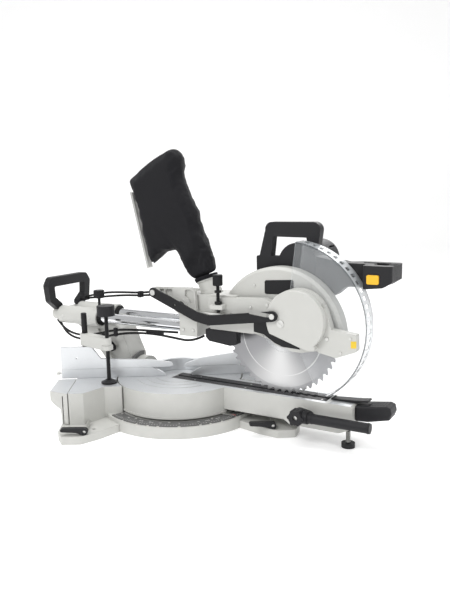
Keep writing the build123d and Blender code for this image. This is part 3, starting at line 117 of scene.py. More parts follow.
def finished(shape, name, body, material, rounding=0.0, angle=35.0):
    """Turns a bmesh into a piece, with its edges rounded."""
    bmesh.ops.recalc_face_normals(shape, faces=shape.faces)
    if rounding > 0:
        sharp = [e for e in shape.edges if len(e.link_faces) == 2 and e.calc_face_angle(0.0) > 0.6]
        bmesh.ops.bevel(shape, geom=sharp, offset=rounding * MM, segments=2, affect="EDGES")
    mesh = bpy.data.meshes.new(name)
    shape.to_mesh(mesh)
    shape.free()
    smooth(mesh, angle)
    return placed(name, mesh, body, material)


def prism(shape, outline, low, high):
    """Adds a closed prism from an outline of the side view (back, up), between two x places, in mm."""
    rings = [[shape.verts.new(swung(x, y, z)) for y, z in outline] for x in (low, high)]
    count = len(outline)
    for i in range(count):
        j = (i + 1) % count
        shape.faces.new((rings[0][i], rings[0][j], rings[1][j], rings[1][i]))
    shape.faces.new(tuple(reversed(rings[0])))
    shape.faces.new(tuple(rings[1]))


def thread(shape, foot, axis, length, radius, pitch):
    """Adds a screw thread's ridge round an axis."""
    side = axis.cross(RIGHT if abs(axis.dot(RIGHT)) < 0.9 else UP).normalized()
    other = axis.cross(side)
    steps = 14
    turns = int(length / pitch)
    rows = []
    for i in range(turns * steps + 1):
        a = 2 * math.pi * i / steps
        out = side * math.cos(a) + other * math.sin(a)
        at = foot + axis * (pitch * i / steps)
        rows.append([shape.verts.new(at + out * (radius - 0.1 * MM) - axis * pitch * 0.42),
                     shape.verts.new(at + out * (radius + 0.55 * MM)),
                     shape.verts.new(at + out * (radius - 0.1 * MM) + axis * pitch * 0.42)])
    for low, high in zip(rows, rows[1:]):
        for i in range(3):
            j = (i + 1) % 3
            shape.faces.new((low[i], low[j], high[j], high[i]))
    shape.faces.new(rows[0])
    shape.faces.new(tuple(reversed(rows[-1])))


# ------------------------------------------------------------------ materials
def node(tree, kind, **inputs):
    made = tree.nodes.new(kind)
    for key, value in inputs.items():
        made.inputs[key.replace("_", " ")].default_value = value
    return made


def number(tree, operation, *values):
    """A math node fed by sockets and plain values; returns its output."""
    made = tree.nodes.new("ShaderNodeMath")
    made.operation = operation
    for socket, value in zip(made.inputs, values):
        if isinstance(value, float):
            socket.default_value = value
        else:
            tree.links.new(value, socket)
    return made.outputs[0]


def finish_of(name, colour, roughness, metallic=0.0, grain=0.0, grain_scale=400.0, edge=0.0, mottle=0.06,
              **sockets):
    """A Principled material with a little unevenness in tone, gloss and surface."""
    material = bpy.data.materials.new(name)
    material.use_nodes = True
    tree = material.node_tree
    shader = tree.nodes["Principled BSDF"]
    shader.inputs["Metallic"].default_value = metallic
    for key, value in sockets.items():
        shader.inputs[key.replace("_", " ")].default_value = value
    place = tree.nodes.new("ShaderNodeTexCoord")
    cloud = node(tree, "ShaderNodeTexNoise", Scale=35.0, Detail=3.0)
    tree.links.new(place.outputs["Object"], cloud.inputs["Vector"])
    tone = tree.nodes.new("ShaderNodeMix")
    tone.data_type = "RGBA"
    tone.inputs["A"].default_value = [c * (1 - mottle) for c in colour] + [1]
    tone.inputs["B"].default_value = [min(1, c * (1 + mottle)) for c in colour] + [1]
    tree.links.new(cloud.outputs["Fac"], tone.inputs["Factor"])
    tree.links.new(tone.outputs["Result"], shader.inputs["Base Color"])
    gloss = tree.nodes.new("ShaderNodeMapRange")
    gloss.inputs["To Min"].default_value = max(0.02, roughness - 0.06)
    gloss.inputs["To Max"].default_value = min(1.0, roughness + 0.06)
    tree.links.new(cloud.outputs["Fac"], gloss.inputs["Value"])
    tree.links.new(gloss.outputs["Result"], shader.inputs["Roughness"])
    last = None
    if edge > 0:
        last = node(tree, "ShaderNodeBevel", Radius=edge * MM)
        last.samples = 4
        tree.links.new(last.outputs["Normal"], shader.inputs["Normal"])
    if grain > 0:
        speck = node(tree, "ShaderNodeTexNoise", Scale=grain_scale, Detail=2.0)
        tree.links.new(place.outputs["Object"], speck.inputs["Vector"])
        bump = node(tree, "ShaderNodeBump", Strength=grain, Distance=0.0006)
        tree.links.new(speck.outputs["Fac"], bump.inputs["Height"])
        if last:
            tree.links.new(last.outputs["Normal"], bump.inputs["Normal"])
        tree.links.new(bump.outputs["Normal"], shader.inputs["Normal"])
    return material


def machined(name, cast_colour, bright_colour, ringed=False):
    """Painted casting whose level faces at table height are machined bright."""
    material = finish_of(name, cast_colour, 0.42, grain=0.25, edge=1.2)
    tree = material.node_tree
    shader = tree.nodes["Principled BSDF"]
    place = tree.nodes["Texture Coordinate"]
    facts = tree.nodes.new("ShaderNodeNewGeometry")
    facing = tree.nodes.new("ShaderNodeSeparateXYZ")
    height = tree.nodes.new("ShaderNodeSeparateXYZ")
    tree.links.new(facts.outputs["True Normal"], facing.inputs[0])
    tree.links.new(place.outputs["Object"], height.inputs[0])
    level = tree.nodes.new("ShaderNodeMath")
    level.operation = "GREATER_THAN"
    level.inputs[1].default_value = 0.9
    tree.links.new(facing.outputs["Z"], level.inputs[0])
    near = tree.nodes.new("ShaderNodeMath")
    near.operation = "COMPARE"
    near.inputs[1].default_value = TABLE_Z * MM
    near.inputs[2].default_value = 0.0012
    tree.links.new(height.outputs["Z"], near.inputs[0])
    where = tree.nodes.new("ShaderNodeMath")
    where.operation = "MULTIPLY"
    tree.links.new(level.outputs[0], where.inputs[0])
    tree.links.new(near.outputs[0], where.inputs[1])
    streak = node(tree, "ShaderNodeTexWave", Scale=90.0, Distortion=1.5, Detail=2.0)
    if ringed:
        streak.wave_type = "RINGS"
        streak.rings_direction = "Z"
    else:
        streak.bands_direction = "Y"
    tree.links.new(place.outputs["Object"], streak.inputs["Vector"])
    bright = tree.nodes.new("ShaderNodeMix")
    bright.data_type = "RGBA"
    bright.inputs["A"].default_value = [c * 0.80 for c in bright_colour] + [1]
    bright.inputs["B"].default_value = list(bright_colour) + [1]
    tree.links.new(streak.outputs["Fac"], bright.inputs["Factor"])
    colour = tree.nodes.new("ShaderNodeMix")
    colour.data_type = "RGBA"
    tree.links.new(where.outputs[0], colour.inputs["Factor"])
    tree.links.new(shader.inputs["Base Color"].links[0].from_socket, colour.inputs["A"])
    tree.links.new(bright.outputs["Result"], colour.inputs["B"])
    tree.links.new(colour.outputs["Result"], shader.inputs["Base Color"])
    for socket, low, high in (("Metallic", 0.0, 0.55), ("Roughness", 0.42, 0.36)):
        mix = tree.nodes.new("ShaderNodeMapRange")
        mix.inputs["To Min"].default_value = low
        mix.inputs["To Max"].default_value = high
        tree.links.new(where.outputs[0], mix.inputs["Value"])
        tree.links.new(mix.outputs["Result"], shader.inputs[socket])
    return material


def guard_plastic():
    """Clear polycarbonate: clean walls, a frosted bright rim, and painted shade: the edges of its holes out
    at the rim are painted dark.
    """
    material = finish_of("clear_plastic", (0.74, 0.77, 0.79), 0.12, mottle=0.01, Coat_Weight=0.4)
    tree = material.node_tree
    shader = tree.nodes["Principled BSDF"]
    place = tree.nodes["Texture Coordinate"]
    facts = tree.nodes.new("ShaderNodeNewGeometry")

    def vector(operation, first, second=None, value=None):
        made = tree.nodes.new("ShaderNodeVectorMath")
        made.operation = operation
        tree.links.new(first, made.inputs[0])
        if second is not None:
            tree.links.new(second, made.inputs[1])
        if value is not None:
            made.inputs[1].default_value = value
        return made

    away = vector("SUBTRACT", place.outputs["Object"], value=swung(0, *GUARD))
    along = vector("PROJECT", away.outputs["Vector"], value=RIGHT)
    spoke = vector("SUBTRACT", away.outputs["Vector"], along.outputs["Vector"])
    reach = vector("LENGTH", spoke.outputs["Vector"])
    radial = vector("DOT_PRODUCT", facts.outputs["True Normal"],
                    vector("NORMALIZE", spoke.outputs["Vector"]).outputs["Vector"])
    side = vector("DOT_PRODUCT", facts.outputs["True Normal"], value=RIGHT)
    wall = number(tree, "ABSOLUTE", side.outputs["Value"], 0.0)
    across = number(tree, "ABSOLUTE", radial.outputs["Value"], 0.0)
    # painted shade: faces beyond the rim's inner face that face neither out nor in are painted dark and made
    # less clear
    shaded_edge = number(tree, "MULTIPLY", number(tree, "LESS_THAN", across, 0.5),
                 number(tree, "GREATER_THAN", reach.outputs["Value"], RIM_INNER_R))
    veil = tree.nodes.new("ShaderNodeMapRange")
    veil.inputs["From Min"].default_value = 0.35
    veil.inputs["From Max"].default_value = 0.75
    veil.inputs["To Min"].default_value = 0.55
    veil.inputs["To Max"].default_value = 0.09
    tree.links.new(wall, veil.inputs["Value"])
    solid = number(tree, "MULTIPLY", shaded_edge, 0.35)
    tree.links.new(number(tree, "MAXIMUM", veil.outputs["Result"], solid), shader.inputs["Alpha"])
    shade = tree.nodes.new("ShaderNodeMix")
    shade.data_type = "RGBA"
    shade.inputs["B"].default_value = (0.10, 0.11, 0.12, 1)
    tree.links.new(shaded_edge, shade.inputs["Factor"])
    tree.links.new(shader.inputs["Base Color"].links[0].from_socket, shade.inputs["A"])
    tree.links.new(shade.outputs["Result"], shader.inputs["Base Color"])
    return material

CAST = (0.53, 0.53, 0.505)
ALLOY = (0.70, 0.715, 0.73)
cast_paint = finish_of("cast_paint", CAST, 0.42, grain=0.3, edge=1.4, mottle=0.03)
table_top = machined("table_top", CAST, ALLOY)
turned_top = machined("turned_top", CAST, ALLOY, ringed=True)
bare_alloy = finish_of("bare_alloy", ALLOY, 0.33, metallic=0.75, grain=0.2, grain_scale=900, edge=0.8)
chrome = finish_of("chrome", (0.80, 0.81, 0.83), 0.12, metallic=1.0, mottle=0.02)
steel = finish_of("steel", (0.66, 0.67, 0.69), 0.27, metallic=1.0, edge=0.3)
zinc = finish_of("zinc", (0.62, 0.62, 0.60), 0.35, metallic=0.9, grain=0.2, edge=0.5)
dark = finish_of("dark_plastic", (0.013, 0.013, 0.015), 0.5, grain=0.45, grain_scale=1500, edge=1.2,
                 Specular_IOR_Level=0.3)
grey = finish_of("grey_plastic", (0.028, 0.028, 0.031), 0.5, grain=0.4, grain_scale=1500, edge=1.0,
                 Specular_IOR_Level=0.35)
black_paint = finish_of("black_paint", (0.006, 0.006, 0.007), 0.38, edge=0.6, Specular_IOR_Level=0.3)
rubber = finish_of("rubber", (0.007, 0.007, 0.007), 0.55, mottle=0.1, Specular_IOR_Level=0.3)
amber = finish_of("amber_plastic", (0.85, 0.47, 0.02), 0.35, edge=0.8)
orange = finish_of("orange_plastic", (0.80, 0.20, 0.03), 0.38, edge=0.8)
scale_grey = finish_of("scale_plate", (0.13, 0.13, 0.13), 0.42, metallic=0.2)
ink_white = finish_of("ink_white", (0.75, 0.75, 0.73), 0.5)
label_yellow = finish_of("label_yellow", (0.75, 0.52, 0.03), 0.45)
red = finish_of("pointer_red", (0.55, 0.02, 0.02), 0.4)
cloth = finish_of("bag_cloth", (0.008, 0.008, 0.010), 0.85, grain=0.8, grain_scale=2600, mottle=0.15,
                  Sheen_Weight=0.06, Sheen_Roughness=0.5, Specular_IOR_Level=0.25)
clear = guard_plastic()


def blade_steel():
    """Ground saw-blade plate: fine rings round the arbor, a painted sheen (a highlight painted into its
    colour) that fans out, one scribed ring.
    """
    material = finish_of("blade_steel", (0.50, 0.50, 0.505), 0.34, metallic=0.8, mottle=0.05)
    tree = material.node_tree
    shader = tree.nodes["Principled BSDF"]
    place = tree.nodes["Texture Coordinate"]
    move = tree.nodes.new("ShaderNodeMapping")
    move.vector_type = "TEXTURE"
    move.inputs["Location"].default_value = swung(0, *ARBOR)
    move.inputs["Rotation"].default_value = (0, 0, MITER)
    tree.links.new(place.outputs["Object"], move.inputs["Vector"])
    rings = node(tree, "ShaderNodeTexWave", Scale=260.0, Distortion=0.6, Detail=1.0)
    rings.wave_type = "RINGS"
    rings.rings_direction = "X"
    tree.links.new(move.outputs["Vector"], rings.inputs["Vector"])
    bump = node(tree, "ShaderNodeBump", Strength=0.12, Distance=0.0003)
    tree.links.new(rings.outputs["Fac"], bump.inputs["Height"])
    tree.links.new(bump.outputs["Normal"], shader.inputs["Normal"])
    parts = tree.nodes.new("ShaderNodeSeparateXYZ")
    tree.links.new(move.outputs["Vector"], parts.inputs[0])

    # painted highlight: the plate's colour is lightened in a fan round the arbor, where its sheen would lie
    angle = number(tree, "ARCTAN2", parts.outputs["Z"], parts.outputs["Y"])
    painted_sheen = number(tree, "COSINE", number(tree, "MULTIPLY_ADD", angle, 2.0, PAINTED_SHEEN_TURN))
    painted_sheen = number(tree, "POWER", number(tree, "MULTIPLY_ADD", painted_sheen, 0.5, 0.5), 3.0)
    reach = number(tree, "SQRT", number(tree, "ADD", number(tree, "POWER", parts.outputs["Y"], 2.0),
                                  number(tree, "POWER", parts.outputs["Z"], 2.0)))
    scribed = number(tree, "COMPARE", reach, SCRIBED_R, SCRIBED_HALF)
    outer = number(tree, "GREATER_THAN", reach, BODY_R)
    light = number(tree, "SUBTRACT", number(tree, "MAXIMUM", painted_sheen, scribed),
                   number(tree, "MULTIPLY", outer, 0.3))
    tone = tree.nodes.new("ShaderNodeMix")
    tone.data_type = "RGBA"
    tone.inputs["A"].default_value = (0.30, 0.30, 0.31, 1)
    tone.inputs["B"].default_value = (0.66, 0.66, 0.66, 1)
    tree.links.new(light, tone.inputs["Factor"])
    tree.links.new(tone.outputs["Result"], shader.inputs["Base Color"])
    return material


MATERIALS = {
    cast_paint: "head_casting bevel_column carriage_bracket rear_yoke clamp_arm arbor_cover dust_port",
    table_top: "base_casting left_extension_table right_extension_table",
    turned_top: "turntable_casting",
    bare_alloy: "fixed_fence left_sliding_fence right_sliding_fence",
    chrome: "slide_rails",
    steel: "chop_shaft arbor_shaft blade_fastening rail_bushes",
    zinc: "base_fasteners centre_pivot_bolt turntable_fittings column_fasteners head_fasteners stop_plate "
          "link_pivot_screw bevel_shaft bag_clip",
    dark: "left_extension_lever right_extension_lever clamp_knob front_grip detent_lever side_lock_lever "
          "levelling_foot bevel_lock_lever slide_lock_knob rear_handle junction_box belt_case carry_handle "
          "handle_left handle_right",
    grey: "motor_housing kerf_inserts",
    black_paint: "guard_link clamp_post clamp_screw clamp_pad depth_stop",
    rubber: "rail_seals upper_leads lower_leads",
    cloth: "dust_bag",
    clear: "lower_guard",
    orange: "trigger",
    amber: "lock_off_button",
    scale_grey: "miter_scale bevel_scale",
    blade_steel(): "saw_blade",
}
for material, names in MATERIALS.items():
    for name in names.split():
        nodes[name].data.materials.clear()
        nodes[name].data.materials.append(material)
for part in nodes.values():
    smooth(part.data)


# ------------------------------------------------------------------ miter scale
def miter_scale_marks():
    """Degree lines and numerals on the scale plate."""
    shape = bmesh.new()
    for degree in range(-58, 59, 2):
        a = math.radians(degree - 90)
        out = Vector((math.cos(a), math.sin(a), 0))
        length = 8 if degree % 10 == 0 else 4.5
        slab(shape, out * (202 - length / 2) * MM + UP * 32.1 * MM, out.cross(UP), out, UP,
             (0.55 * MM, length * MM, 0.3 * MM))
    finished(shape, "miter_scale_lines", "base", ink_white)
    for label, degree in (("45", -45), ("31.6", -31.6), ("22.5", -22.5), ("15", -15), ("0", 0),
                          ("15", 15), ("22.5", 22.5), ("31.6", 31.6), ("45", 45)):
        text = bpy.data.curves.new("numeral", "FONT")
        text.body = label
        text.size = 7 * MM
        text.align_x = "CENTER"
        text.align_y = "CENTER"
        text.extrude = 0.15 * MM
        raw = bpy.data.objects.new("numeral", text)
        bpy.context.scene.collection.objects.link(raw)
        a = math.radians(degree - 90)
        raw.location = Vector((math.cos(a), math.sin(a), 0)) * 186 * MM + UP * 32.2 * MM
        raw.rotation_euler = (0, 0, math.radians(degree))
        bpy.context.view_layer.update()
        mesh = bpy.data.meshes.new_from_object(raw)
        mesh.transform(raw.matrix_world)
        bpy.data.objects.remove(raw)
        name = "miter_numeral_" + ("left_" if degree < 0 else "right_") + label.replace(".", "_")
        placed(name, mesh, "base", ink_white)


miter_scale_marks()


# ------------------------------------------------------------------ screws and bolts
def socket_screws(name, body, spots, axis, radius=4.0, height=2.6, material=None):
    """Round-headed hex-socket screws at points given in mm of the arm's frame; heads stand out along axis."""
    shape = bmesh.new()
    for x, y, z in spots:
        foot = swung(x, y, z)
        drum(shape, foot, foot + axis * height * MM, radius * MM, 0.86 * radius * MM, 20)
        drum(shape, foot + axis * height * MM, foot + axis * (height + 0.12) * MM, 0.5 * radius * MM, None, 6)
    return finished(shape, name, body, material or zinc)


socket_screws("cover_screws", "head", [(-56, -452, 262), (-56, -300, 330), (-56, -444, 340)], -RIGHT, 4.5)
socket_screws("nose_screws", "head", [(-56, -508, 268), (-56, -485, 232)], -RIGHT, 3.6)
socket_screws("neck_screws", "head", [(-56, -160, 280), (-56, -200, 300), (-56, -255, 322)], -RIGHT, 4.5)
socket_screws("upper_guard_screws", "head", [(-25, -250, 372), (-25, -400, 382)], -RIGHT, 3.4)
socket_screws("bracket_screws", "carriage", [(-60, -58, 250), (-60, -88, 250)], -RIGHT, 4.2)
socket_screws("chop_shaft_cap", "carriage", [(-62, PIVOT[0], PIVOT[1])], -RIGHT, 12.0, 2.0, black_paint)
socket_screws("yoke_screws", "carriage", [(-40, 416, 254), (40, 416, 254)], BACK, 6.0, 2.0)
socket_screws("barrel_screws", "column", [(-66, 262, 254), (-66, 366, 254)], -RIGHT, 3.6, 1.5)
socket_screws("column_screws", "column", [(-34, 158, 92), (-34, 158, 114)], -RIGHT, 4.0)
socket_screws("motor_cap_screws", "head",
              [(182, -345 + 34 * math.cos(a), 425 + 34 * math.sin(a)) for a in (0.6, 2.17, 3.74, 5.3)],
              RIGHT, 3.6, 1.6)
socket_screws("belt_case_screws", "head",
              [(58, y, z) for y, z in ((-290, 222), (-340, 250), (-280, 290), (-300, 340), (-372, 330))],
              RIGHT, 3.6, 1.6)


# ------------------------------------------------------------------ threads
def threads():
    """Ridges of the clamp screw, the depth stop and the levelling foot."""
    shape = bmesh.new()
    thread(shape, Vector((-0.188, -0.053, 0.1155)), UP, 0.07, 5 * MM, 2.0 * MM)
    thread(shape, Vector((-0.188, -0.053, 0.2285)), UP, 0.056, 5 * MM, 2.0 * MM)
    finished(shape, "clamp_screw_thread", "clamp_screw", black_paint)
    shape = bmesh.new()
    thread(shape, swung(-65, -168, 333), UP, 0.02, 4 * MM, 1.5 * MM)
    thread(shape, swung(-65, -168, 361), UP, 0.011, 4 * MM, 1.5 * MM)
    finished(shape, "depth_stop_thread", "depth_stop", black_paint)
    shape = bmesh.new()
    thread(shape, swung(-29, -496, 13), UP, 0.028, 5 * MM, 1.8 * MM)
    finished(shape, "levelling_foot_thread", "levelling_foot", zinc)


threads()


# ------------------------------------------------------------------ plates and labels
def plates():
    """Blank nameplate and label, the black plate under the cover that also stands for the shade in the gap
    there, the bar across the arm and the pointer.
    """
    shape = bmesh.new()
    prism(shape, [(-281, 386), (-278, 382), (-278, 355), (-281, 352), (-351, 354), (-355, 358), (-355, 387),
                  (-351, 390)], -25.9, -24.9)
    finished(shape, "nameplate", "head", black_paint, 0.3)
    shape = bmesh.new()
    prism(shape, [(-509, 262), (-522, 263), (-522, 247), (-509, 246)], -56.6, -55.9)
    finished(shape, "nose_label", "head", label_yellow)
    shape = bmesh.new()
    # partly painted shade: this thin black sheet is the black plastic piece under the arbor cover and also
    # the shade in the gap between the neck and the cover
    prism(shape, [(-263, 292), (-263, 262), (-290, 258), (-318, 240), (-340, 232), (-385, 230), (-380, 250),
                  (-330, 300)], -57.2, -56.0)
    finished(shape, "under_plate_and_gap_shade", "head", black_paint, 0.3)
    shape = bmesh.new()
    slab(shape, swung(0, -446, TABLE_Z), RIGHT, BACK, UP, (76 * MM, 10 * MM, 0.5 * MM))
    finished(shape, "arm_front_bar", "turntable", ink_white)
    shape = bmesh.new()
    slab(shape, swung(-46, -196, 35.4), RIGHT, BACK, UP, (1.0 * MM, 12 * MM, 0.6 * MM))
    finished(shape, "pointer_line", "turntable", red)


plates()


# ------------------------------------------------------------------ handle and grip details
def grip_details():
    """Ridges on the operating handle, the front grip, the knobs and the side lock."""
    shape = bmesh.new()
    for i in range(9):
        slab(shape, swung(12 + 4.6 * i, -577, 429), RIGHT, BACK, UP, (2.2 * MM, 16 * MM, 1.6 * MM))
    finished(shape, "handle_ridges", "head", dark, 0.4)
    shape = bmesh.new()
    for i in range(7):
        slab(shape, swung(0, -542 - 6.5 * i, 104.4 + 0.9 * i), RIGHT, BACK, UP, (34 * MM, 2.6 * MM, 2.4 * MM))
    finished(shape, "front_grip_ridges", "turntable", dark, 0.5)
    shape = bmesh.new()
    for i in range(20):
        a = 2 * math.pi * i / 20
        out = RIGHT * math.cos(a) + BACK * math.sin(a)
        slab(shape, swung(-34, 250, 321) + out * 14.5 * MM, out, out.cross(UP), UP,
             (1.6 * MM, 2.4 * MM, 20 * MM))
    finished(shape, "slide_lock_ribs", "slide_lock", dark, 0.4)
    shape = bmesh.new()
    for i in range(24):
        a = 2 * math.pi * i / 24
        out = RIGHT * math.cos(a) + BACK * math.sin(a)
        slab(shape, swung(-65, -168, 385.5) + out * 12 * MM, out, out.cross(UP), UP,
             (1.0 * MM, 1.5 * MM, 24 * MM))
    finished(shape, "depth_stop_ribs", "depth_stop", dark, 0.3)
    shape = bmesh.new()
    for y in (-412, -420, -555):
        drum(shape, swung(-68, y, 69), swung(-68, y - 3, 69), 12.8 * MM, None, 32)
    finished(shape, "side_lock_rings", "side_lock", dark, 0.4)


grip_details()


# ------------------------------------------------------------------ clear guard details
def guard_details():
    """Edge beads and rivets of the lower guard."""
    shape = bmesh.new()
    steps = 46
    for low_x, high_x, inner, outer in ((-32.0, -30.6, 196.6, 200.0), (16.6, 17.4, 195.0, 200.0)):
        rows = []
        for i in range(steps + 1):
            a = math.radians(8 + 139 * i / steps)
            rows.append([shape.verts.new(swung(x, GUARD[0] - r * math.sin(a), GUARD[1] + r * math.cos(a)))
                         for x, r in ((low_x, inner), (low_x, outer), (high_x, outer), (high_x, inner))])
        for low, high in zip(rows, rows[1:]):
            for i in range(4):
                j = (i + 1) % 4
                shape.faces.new((low[i], low[j], high[j], high[i]))
        shape.faces.new(rows[0])
        shape.faces.new(tuple(reversed(rows[-1])))
    finished(shape, "guard_edge_beads", "lower_guard", clear)
    shape = bmesh.new()
    for i in range(3):
        a = math.radians(30 + 50 * i)
        spot = swung(-31, GUARD[0] - 66.5 * math.sin(a), GUARD[1] + 66.5 * math.cos(a))
        drum(shape, spot, spot - RIGHT * 1.2 * MM, 2.6 * MM, 2.0 * MM, 16)
    finished(shape, "guard_rivets", "lower_guard", zinc)


guard_details()


# ------------------------------------------------------------------ leads
LEAD_R = 3.2
UPPER = ([(50, 392, 290), (47, 340, 302), (47, 290, 312), (47, 230, 316), (47, 165, 318), (47, 100, 326),
          (52, 40, 330)],
         [(58, 392, 286), (56, 340, 292), (55, 290, 299), (54, 230, 306), (54, 165, 309), (54, 100, 316),
          (56, 40, 322)])
LOWER = ([(-50, 402, 236.5), (-58, 378, 221), (-66, 338, 207), (-68, 290, 202), (-68, 230, 213),
          (-67, 166, 230), (-66, 100, 236), (-66, 30, 238.5), (-64, -42, 241)],
         [(-42, 402, 234.5), (-54, 378, 214), (-66, 338, 196), (-68, 290, 190), (-68, 230, 200),
          (-67, 166, 217), (-66, 100, 227.5), (-66, 30, 230.5), (-66, -30, 226), (-65, -88, 221),
          (-56, -119, 238)])


def lead(name, points):
    """A round lead along a smooth line through the route's control points."""
    data = bpy.data.curves.new(name, "CURVE")
    data.dimensions = "3D"
    data.bevel_depth = LEAD_R * MM
    data.bevel_resolution = 5
    data.use_fill_caps = True
    line = data.splines.new("NURBS")
    line.points.add(len(points) - 1)
    for spot, point in zip(line.points, points):
        spot.co = (*swung(*point), 1)
    line.order_u = 3
    line.use_endpoint_u = True
    line.resolution_u = 10
    return placed(name, data, "carriage", rubber)


upper = [lead(f"upper_lead_{i + 1}", points) for i, points in enumerate(UPPER)]
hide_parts("upper_leads")
lower = [lead(f"lower_lead_{i + 1}", points) for i, points in enumerate(LOWER)]
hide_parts("lower_leads")


def lead_fittings():
    """Clips, the boot and the spiral wrap that hold the leads."""
    shape = bmesh.new()
    slab(shape, swung(50.5, 165, 313.5), RIGHT, BACK, UP, (16 * MM, 12 * MM, 18 * MM))
    slab(shape, swung(54, 42, 326), RIGHT, BACK, UP, (14 * MM, 16 * MM, 17 * MM))
    slab(shape, swung(54, 386, 289), RIGHT, BACK, UP, (20 * MM, 22 * MM, 14 * MM))
    finished(shape, "upper_lead_clips", "carriage", dark, 1.2)
    shape = bmesh.new()
    for i in range(9):
        y = 56 - 6 * i
        drum(shape, swung(-67, y, 233.4), swung(-67, y - 4, 233.2), 6.4 * MM, 6.0 * MM, 24)
    slab(shape, swung(-67, 166, 223.5), RIGHT, BACK, UP, (9 * MM, 10 * MM, 24 * MM))
    finished(shape, "lower_lead_wrap", "carriage", dark, 0.8)


lead_fittings()


# ------------------------------------------------------------------ dust bag
PORT_LEAN = math.radians(20)
PORT_AXIS = (BACK * math.sin(PORT_LEAN) + UP * math.cos(PORT_LEAN)).normalized()
PORT_FOOT = swung(0, -109, 341)
PORT_LEN = 46.0


def dust_bag():
    """Cloth bag: the plain solid is swollen with pressure as cloth, then gathered into folds at its neck."""
    mesh = nodes["dust_bag"].data.copy()
    bag = bpy.data.objects.new("dust_bag_cloth", mesh)
    bpy.context.scene.collection.objects.link(bag)
    bpy.context.view_layer.objects.active = bag
    middle = sum((v.co for v in mesh.vertices), Vector()) / len(mesh.vertices)
    for vertex in mesh.vertices:
        depth = (vertex.co - middle).dot(RIGHT)
        vertex.co -= RIGHT * depth * 0.35
    remesh = bag.modifiers.new("Remesh", "REMESH")
    remesh.mode = "VOXEL"
    remesh.voxel_size = 0.006
    with bpy.context.temp_override(object=bag, active_object=bag, selected_objects=[bag]):
        bpy.ops.object.modifier_apply(modifier="Remesh")
    rest = [v.co.copy() for v in bag.data.vertices]
    neck = PORT_FOOT + PORT_AXIS * PORT_LEN * MM
    pinned = bag.vertex_groups.new(name="held")
    for i, at in enumerate(rest):
        if (at - neck).length < 0.045:
            pinned.add([i], 1.0, "REPLACE")
    sim = bag.modifiers.new("Cloth", "CLOTH")
    sim.settings.quality = 5
    sim.settings.mass = 0.2
    sim.settings.use_pressure = True
    sim.settings.uniform_pressure_force = 3.0
    sim.settings.vertex_group_mass = "held"
    sim.settings.effector_weights.gravity = 0
    sim.settings.shrink_min = -0.04
    sim.point_cache.frame_end = 20
    for step in range(1, 21):
        bpy.context.scene.frame_set(step)
    with bpy.context.temp_override(object=bag, active_object=bag, selected_objects=[bag]):
        bpy.ops.object.modifier_apply(modifier="Cloth")
    bpy.context.scene.frame_set(1)
    cap = 0.010
    for vertex, start in zip(bag.data.vertices, rest):
        shift = vertex.co - start
        if shift.length > cap:
            vertex.co = start + shift.normalized() * cap
    # gathers fanning out from the neck, and slow sags further up
    bag.data.update()
    moves = []
    for vertex in bag.data.vertices:
        off = vertex.co - neck
        reach = off.length
        turn = math.atan2(off.dot(RIGHT), off.dot(BACK) + 0.25 * reach)
        gather = math.exp(-((reach - 0.03) / 0.06) ** 2) * 0.0022 * math.sin(11 * turn + 22 * reach)
        sag = 0.0011 * math.sin(31 * off.z + 24 * off.dot(BACK)) * math.sin(19 * off.dot(RIGHT) + 17 * off.z)
        fold = (0.0032 * math.exp(-(reach / 0.14) ** 2)
                * max(0.0, math.sin(70 * (off.z - 0.9 * off.dot(BACK)))) ** 2)
        near_cuff = min(1.0, max(0.0, (reach - 0.034) / 0.02))
        moves.append(vertex.normal * (gather + sag - fold) * near_cuff)
    for vertex, move in zip(bag.data.vertices, moves):
        vertex.co += move
    fine = bag.modifiers.new("Fine", "SUBSURF")
    fine.levels = 1
    fine.render_levels = 1
    with bpy.context.temp_override(object=bag, active_object=bag, selected_objects=[bag]):
        bpy.ops.object.modifier_apply(modifier="Fine")
    for face in bag.data.polygons:
        face.use_smooth = True
    bag.data.materials.clear()
    bag.data.materials.append(cloth)
    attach(bag, "head")
    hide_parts("dust_bag")
    return bag


bag = dust_bag()


def bag_collar():
    """Elastic band that holds the bag's mouth on the dust port's cuff."""
    shape = bmesh.new()
    for reach, radius in ((PORT_LEN - 9, 31.0), (PORT_LEN - 4, 31.8)):
        drum(shape, PORT_FOOT + PORT_AXIS * reach * MM, PORT_FOOT + PORT_AXIS * (reach + 5) * MM,
             radius * MM, None, 48)
    finished(shape, "bag_band", "head", cloth, 0.8)


bag_collar()


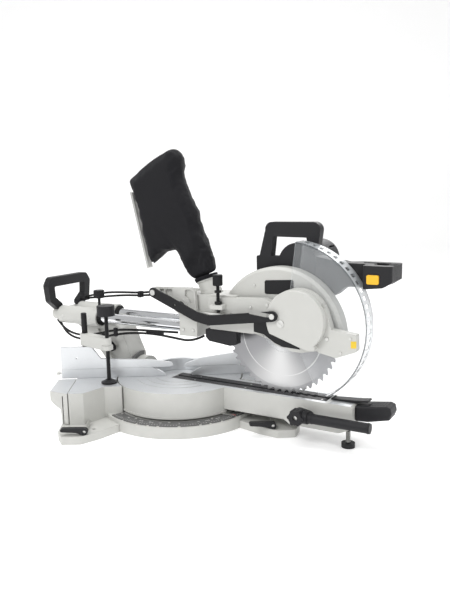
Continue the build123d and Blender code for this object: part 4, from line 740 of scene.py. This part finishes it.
# ------------------------------------------------------------------ stage, light and camera
def stage():
    """Plain pale floor and backdrop."""
    shape = bmesh.new()
    points = [(-4.5, 0.0), (3.0, 0.0), (3.6, 0.12), (4.0, 0.5), (4.2, 1.2), (4.2, 5.0)]
    rows = [[shape.verts.new((x, y, z)) for x in (-6.0, 6.0)] for y, z in points]
    for low, high in zip(rows, rows[1:]):
        shape.faces.new((low[0], low[1], high[1], high[0]))
    mesh = bpy.data.meshes.new("floor")
    shape.to_mesh(mesh)
    shape.free()
    smooth(mesh, 80)
    floor = bpy.data.objects.new("floor", mesh)
    bpy.context.scene.collection.objects.link(floor)
    paper = bpy.data.materials.new("paper")
    paper.use_nodes = True
    shader = paper.node_tree.nodes["Principled BSDF"]
    shader.inputs["Base Color"].default_value = (0.93, 0.93, 0.93, 1)
    shader.inputs["Roughness"].default_value = 0.9
    shader.inputs["Emission Color"].default_value = (1, 1, 1, 1)
    shader.inputs["Emission Strength"].default_value = 0.22
    mesh.materials.append(paper)


def area_light(name, spot, target, size, power):
    data = bpy.data.lights.new(name, "AREA")
    data.shape = "RECTANGLE"
    data.size = size[0]
    data.size_y = size[1]
    data.energy = power
    lamp = bpy.data.objects.new(name, data)
    lamp.location = spot
    lamp.rotation_mode = "QUATERNION"
    lamp.rotation_quaternion = (Vector(target) - Vector(spot)).to_track_quat("-Z", "Y")
    bpy.context.scene.collection.objects.link(lamp)


def lights():
    centre = (0.0, 0.0, 0.3)
    area_light("key", (-1.6, -1.9, 2.4), centre, (1.5, 1.5), 46)
    area_light("fill", (2.2, -1.8, 1.6), centre, (2.0, 1.6), 20)
    area_light("top", (0.0, 0.3, 2.8), centre, (2.4, 2.0), 44)
    area_light("rim", (1.2, 2.2, 1.8), centre, (1.6, 1.2), 22)
    world = bpy.data.worlds.new("studio")
    bpy.context.scene.world = world
    world.use_nodes = True
    world.node_tree.nodes["Background"].inputs["Color"].default_value = (1, 1, 1, 1)
    world.node_tree.nodes["Background"].inputs["Strength"].default_value = 0.55


def camera():
    """The reference view: position, direction and lens of the fitted camera."""
    forward = Vector((0.024623, 0.985956, -0.165178)).normalized()
    yaw, roll = math.radians(1.43), math.radians(1.344)
    side = Vector((math.cos(yaw), -math.sin(yaw), 0))
    rise = side.cross(forward)
    right = side * math.cos(roll) - rise * math.sin(roll)
    up = side * math.sin(roll) + rise * math.cos(roll)
    data = bpy.data.cameras.new("view")
    data.sensor_fit = "HORIZONTAL"
    data.sensor_width = 36.0
    data.lens = 51.5
    data.shift_x = 0.0263
    data.shift_y = 0.0043
    eye = bpy.data.objects.new("view", data)
    basis = Matrix((right, up, -forward)).transposed()
    eye.matrix_world = Matrix.Translation(Vector((53.69, -1728.05, 596.01)) * MM) @ basis.to_4x4()
    bpy.context.scene.collection.objects.link(eye)
    bpy.context.scene.camera = eye


stage()
lights()
camera()
bpy.context.scene.view_settings.view_transform = "Standard"
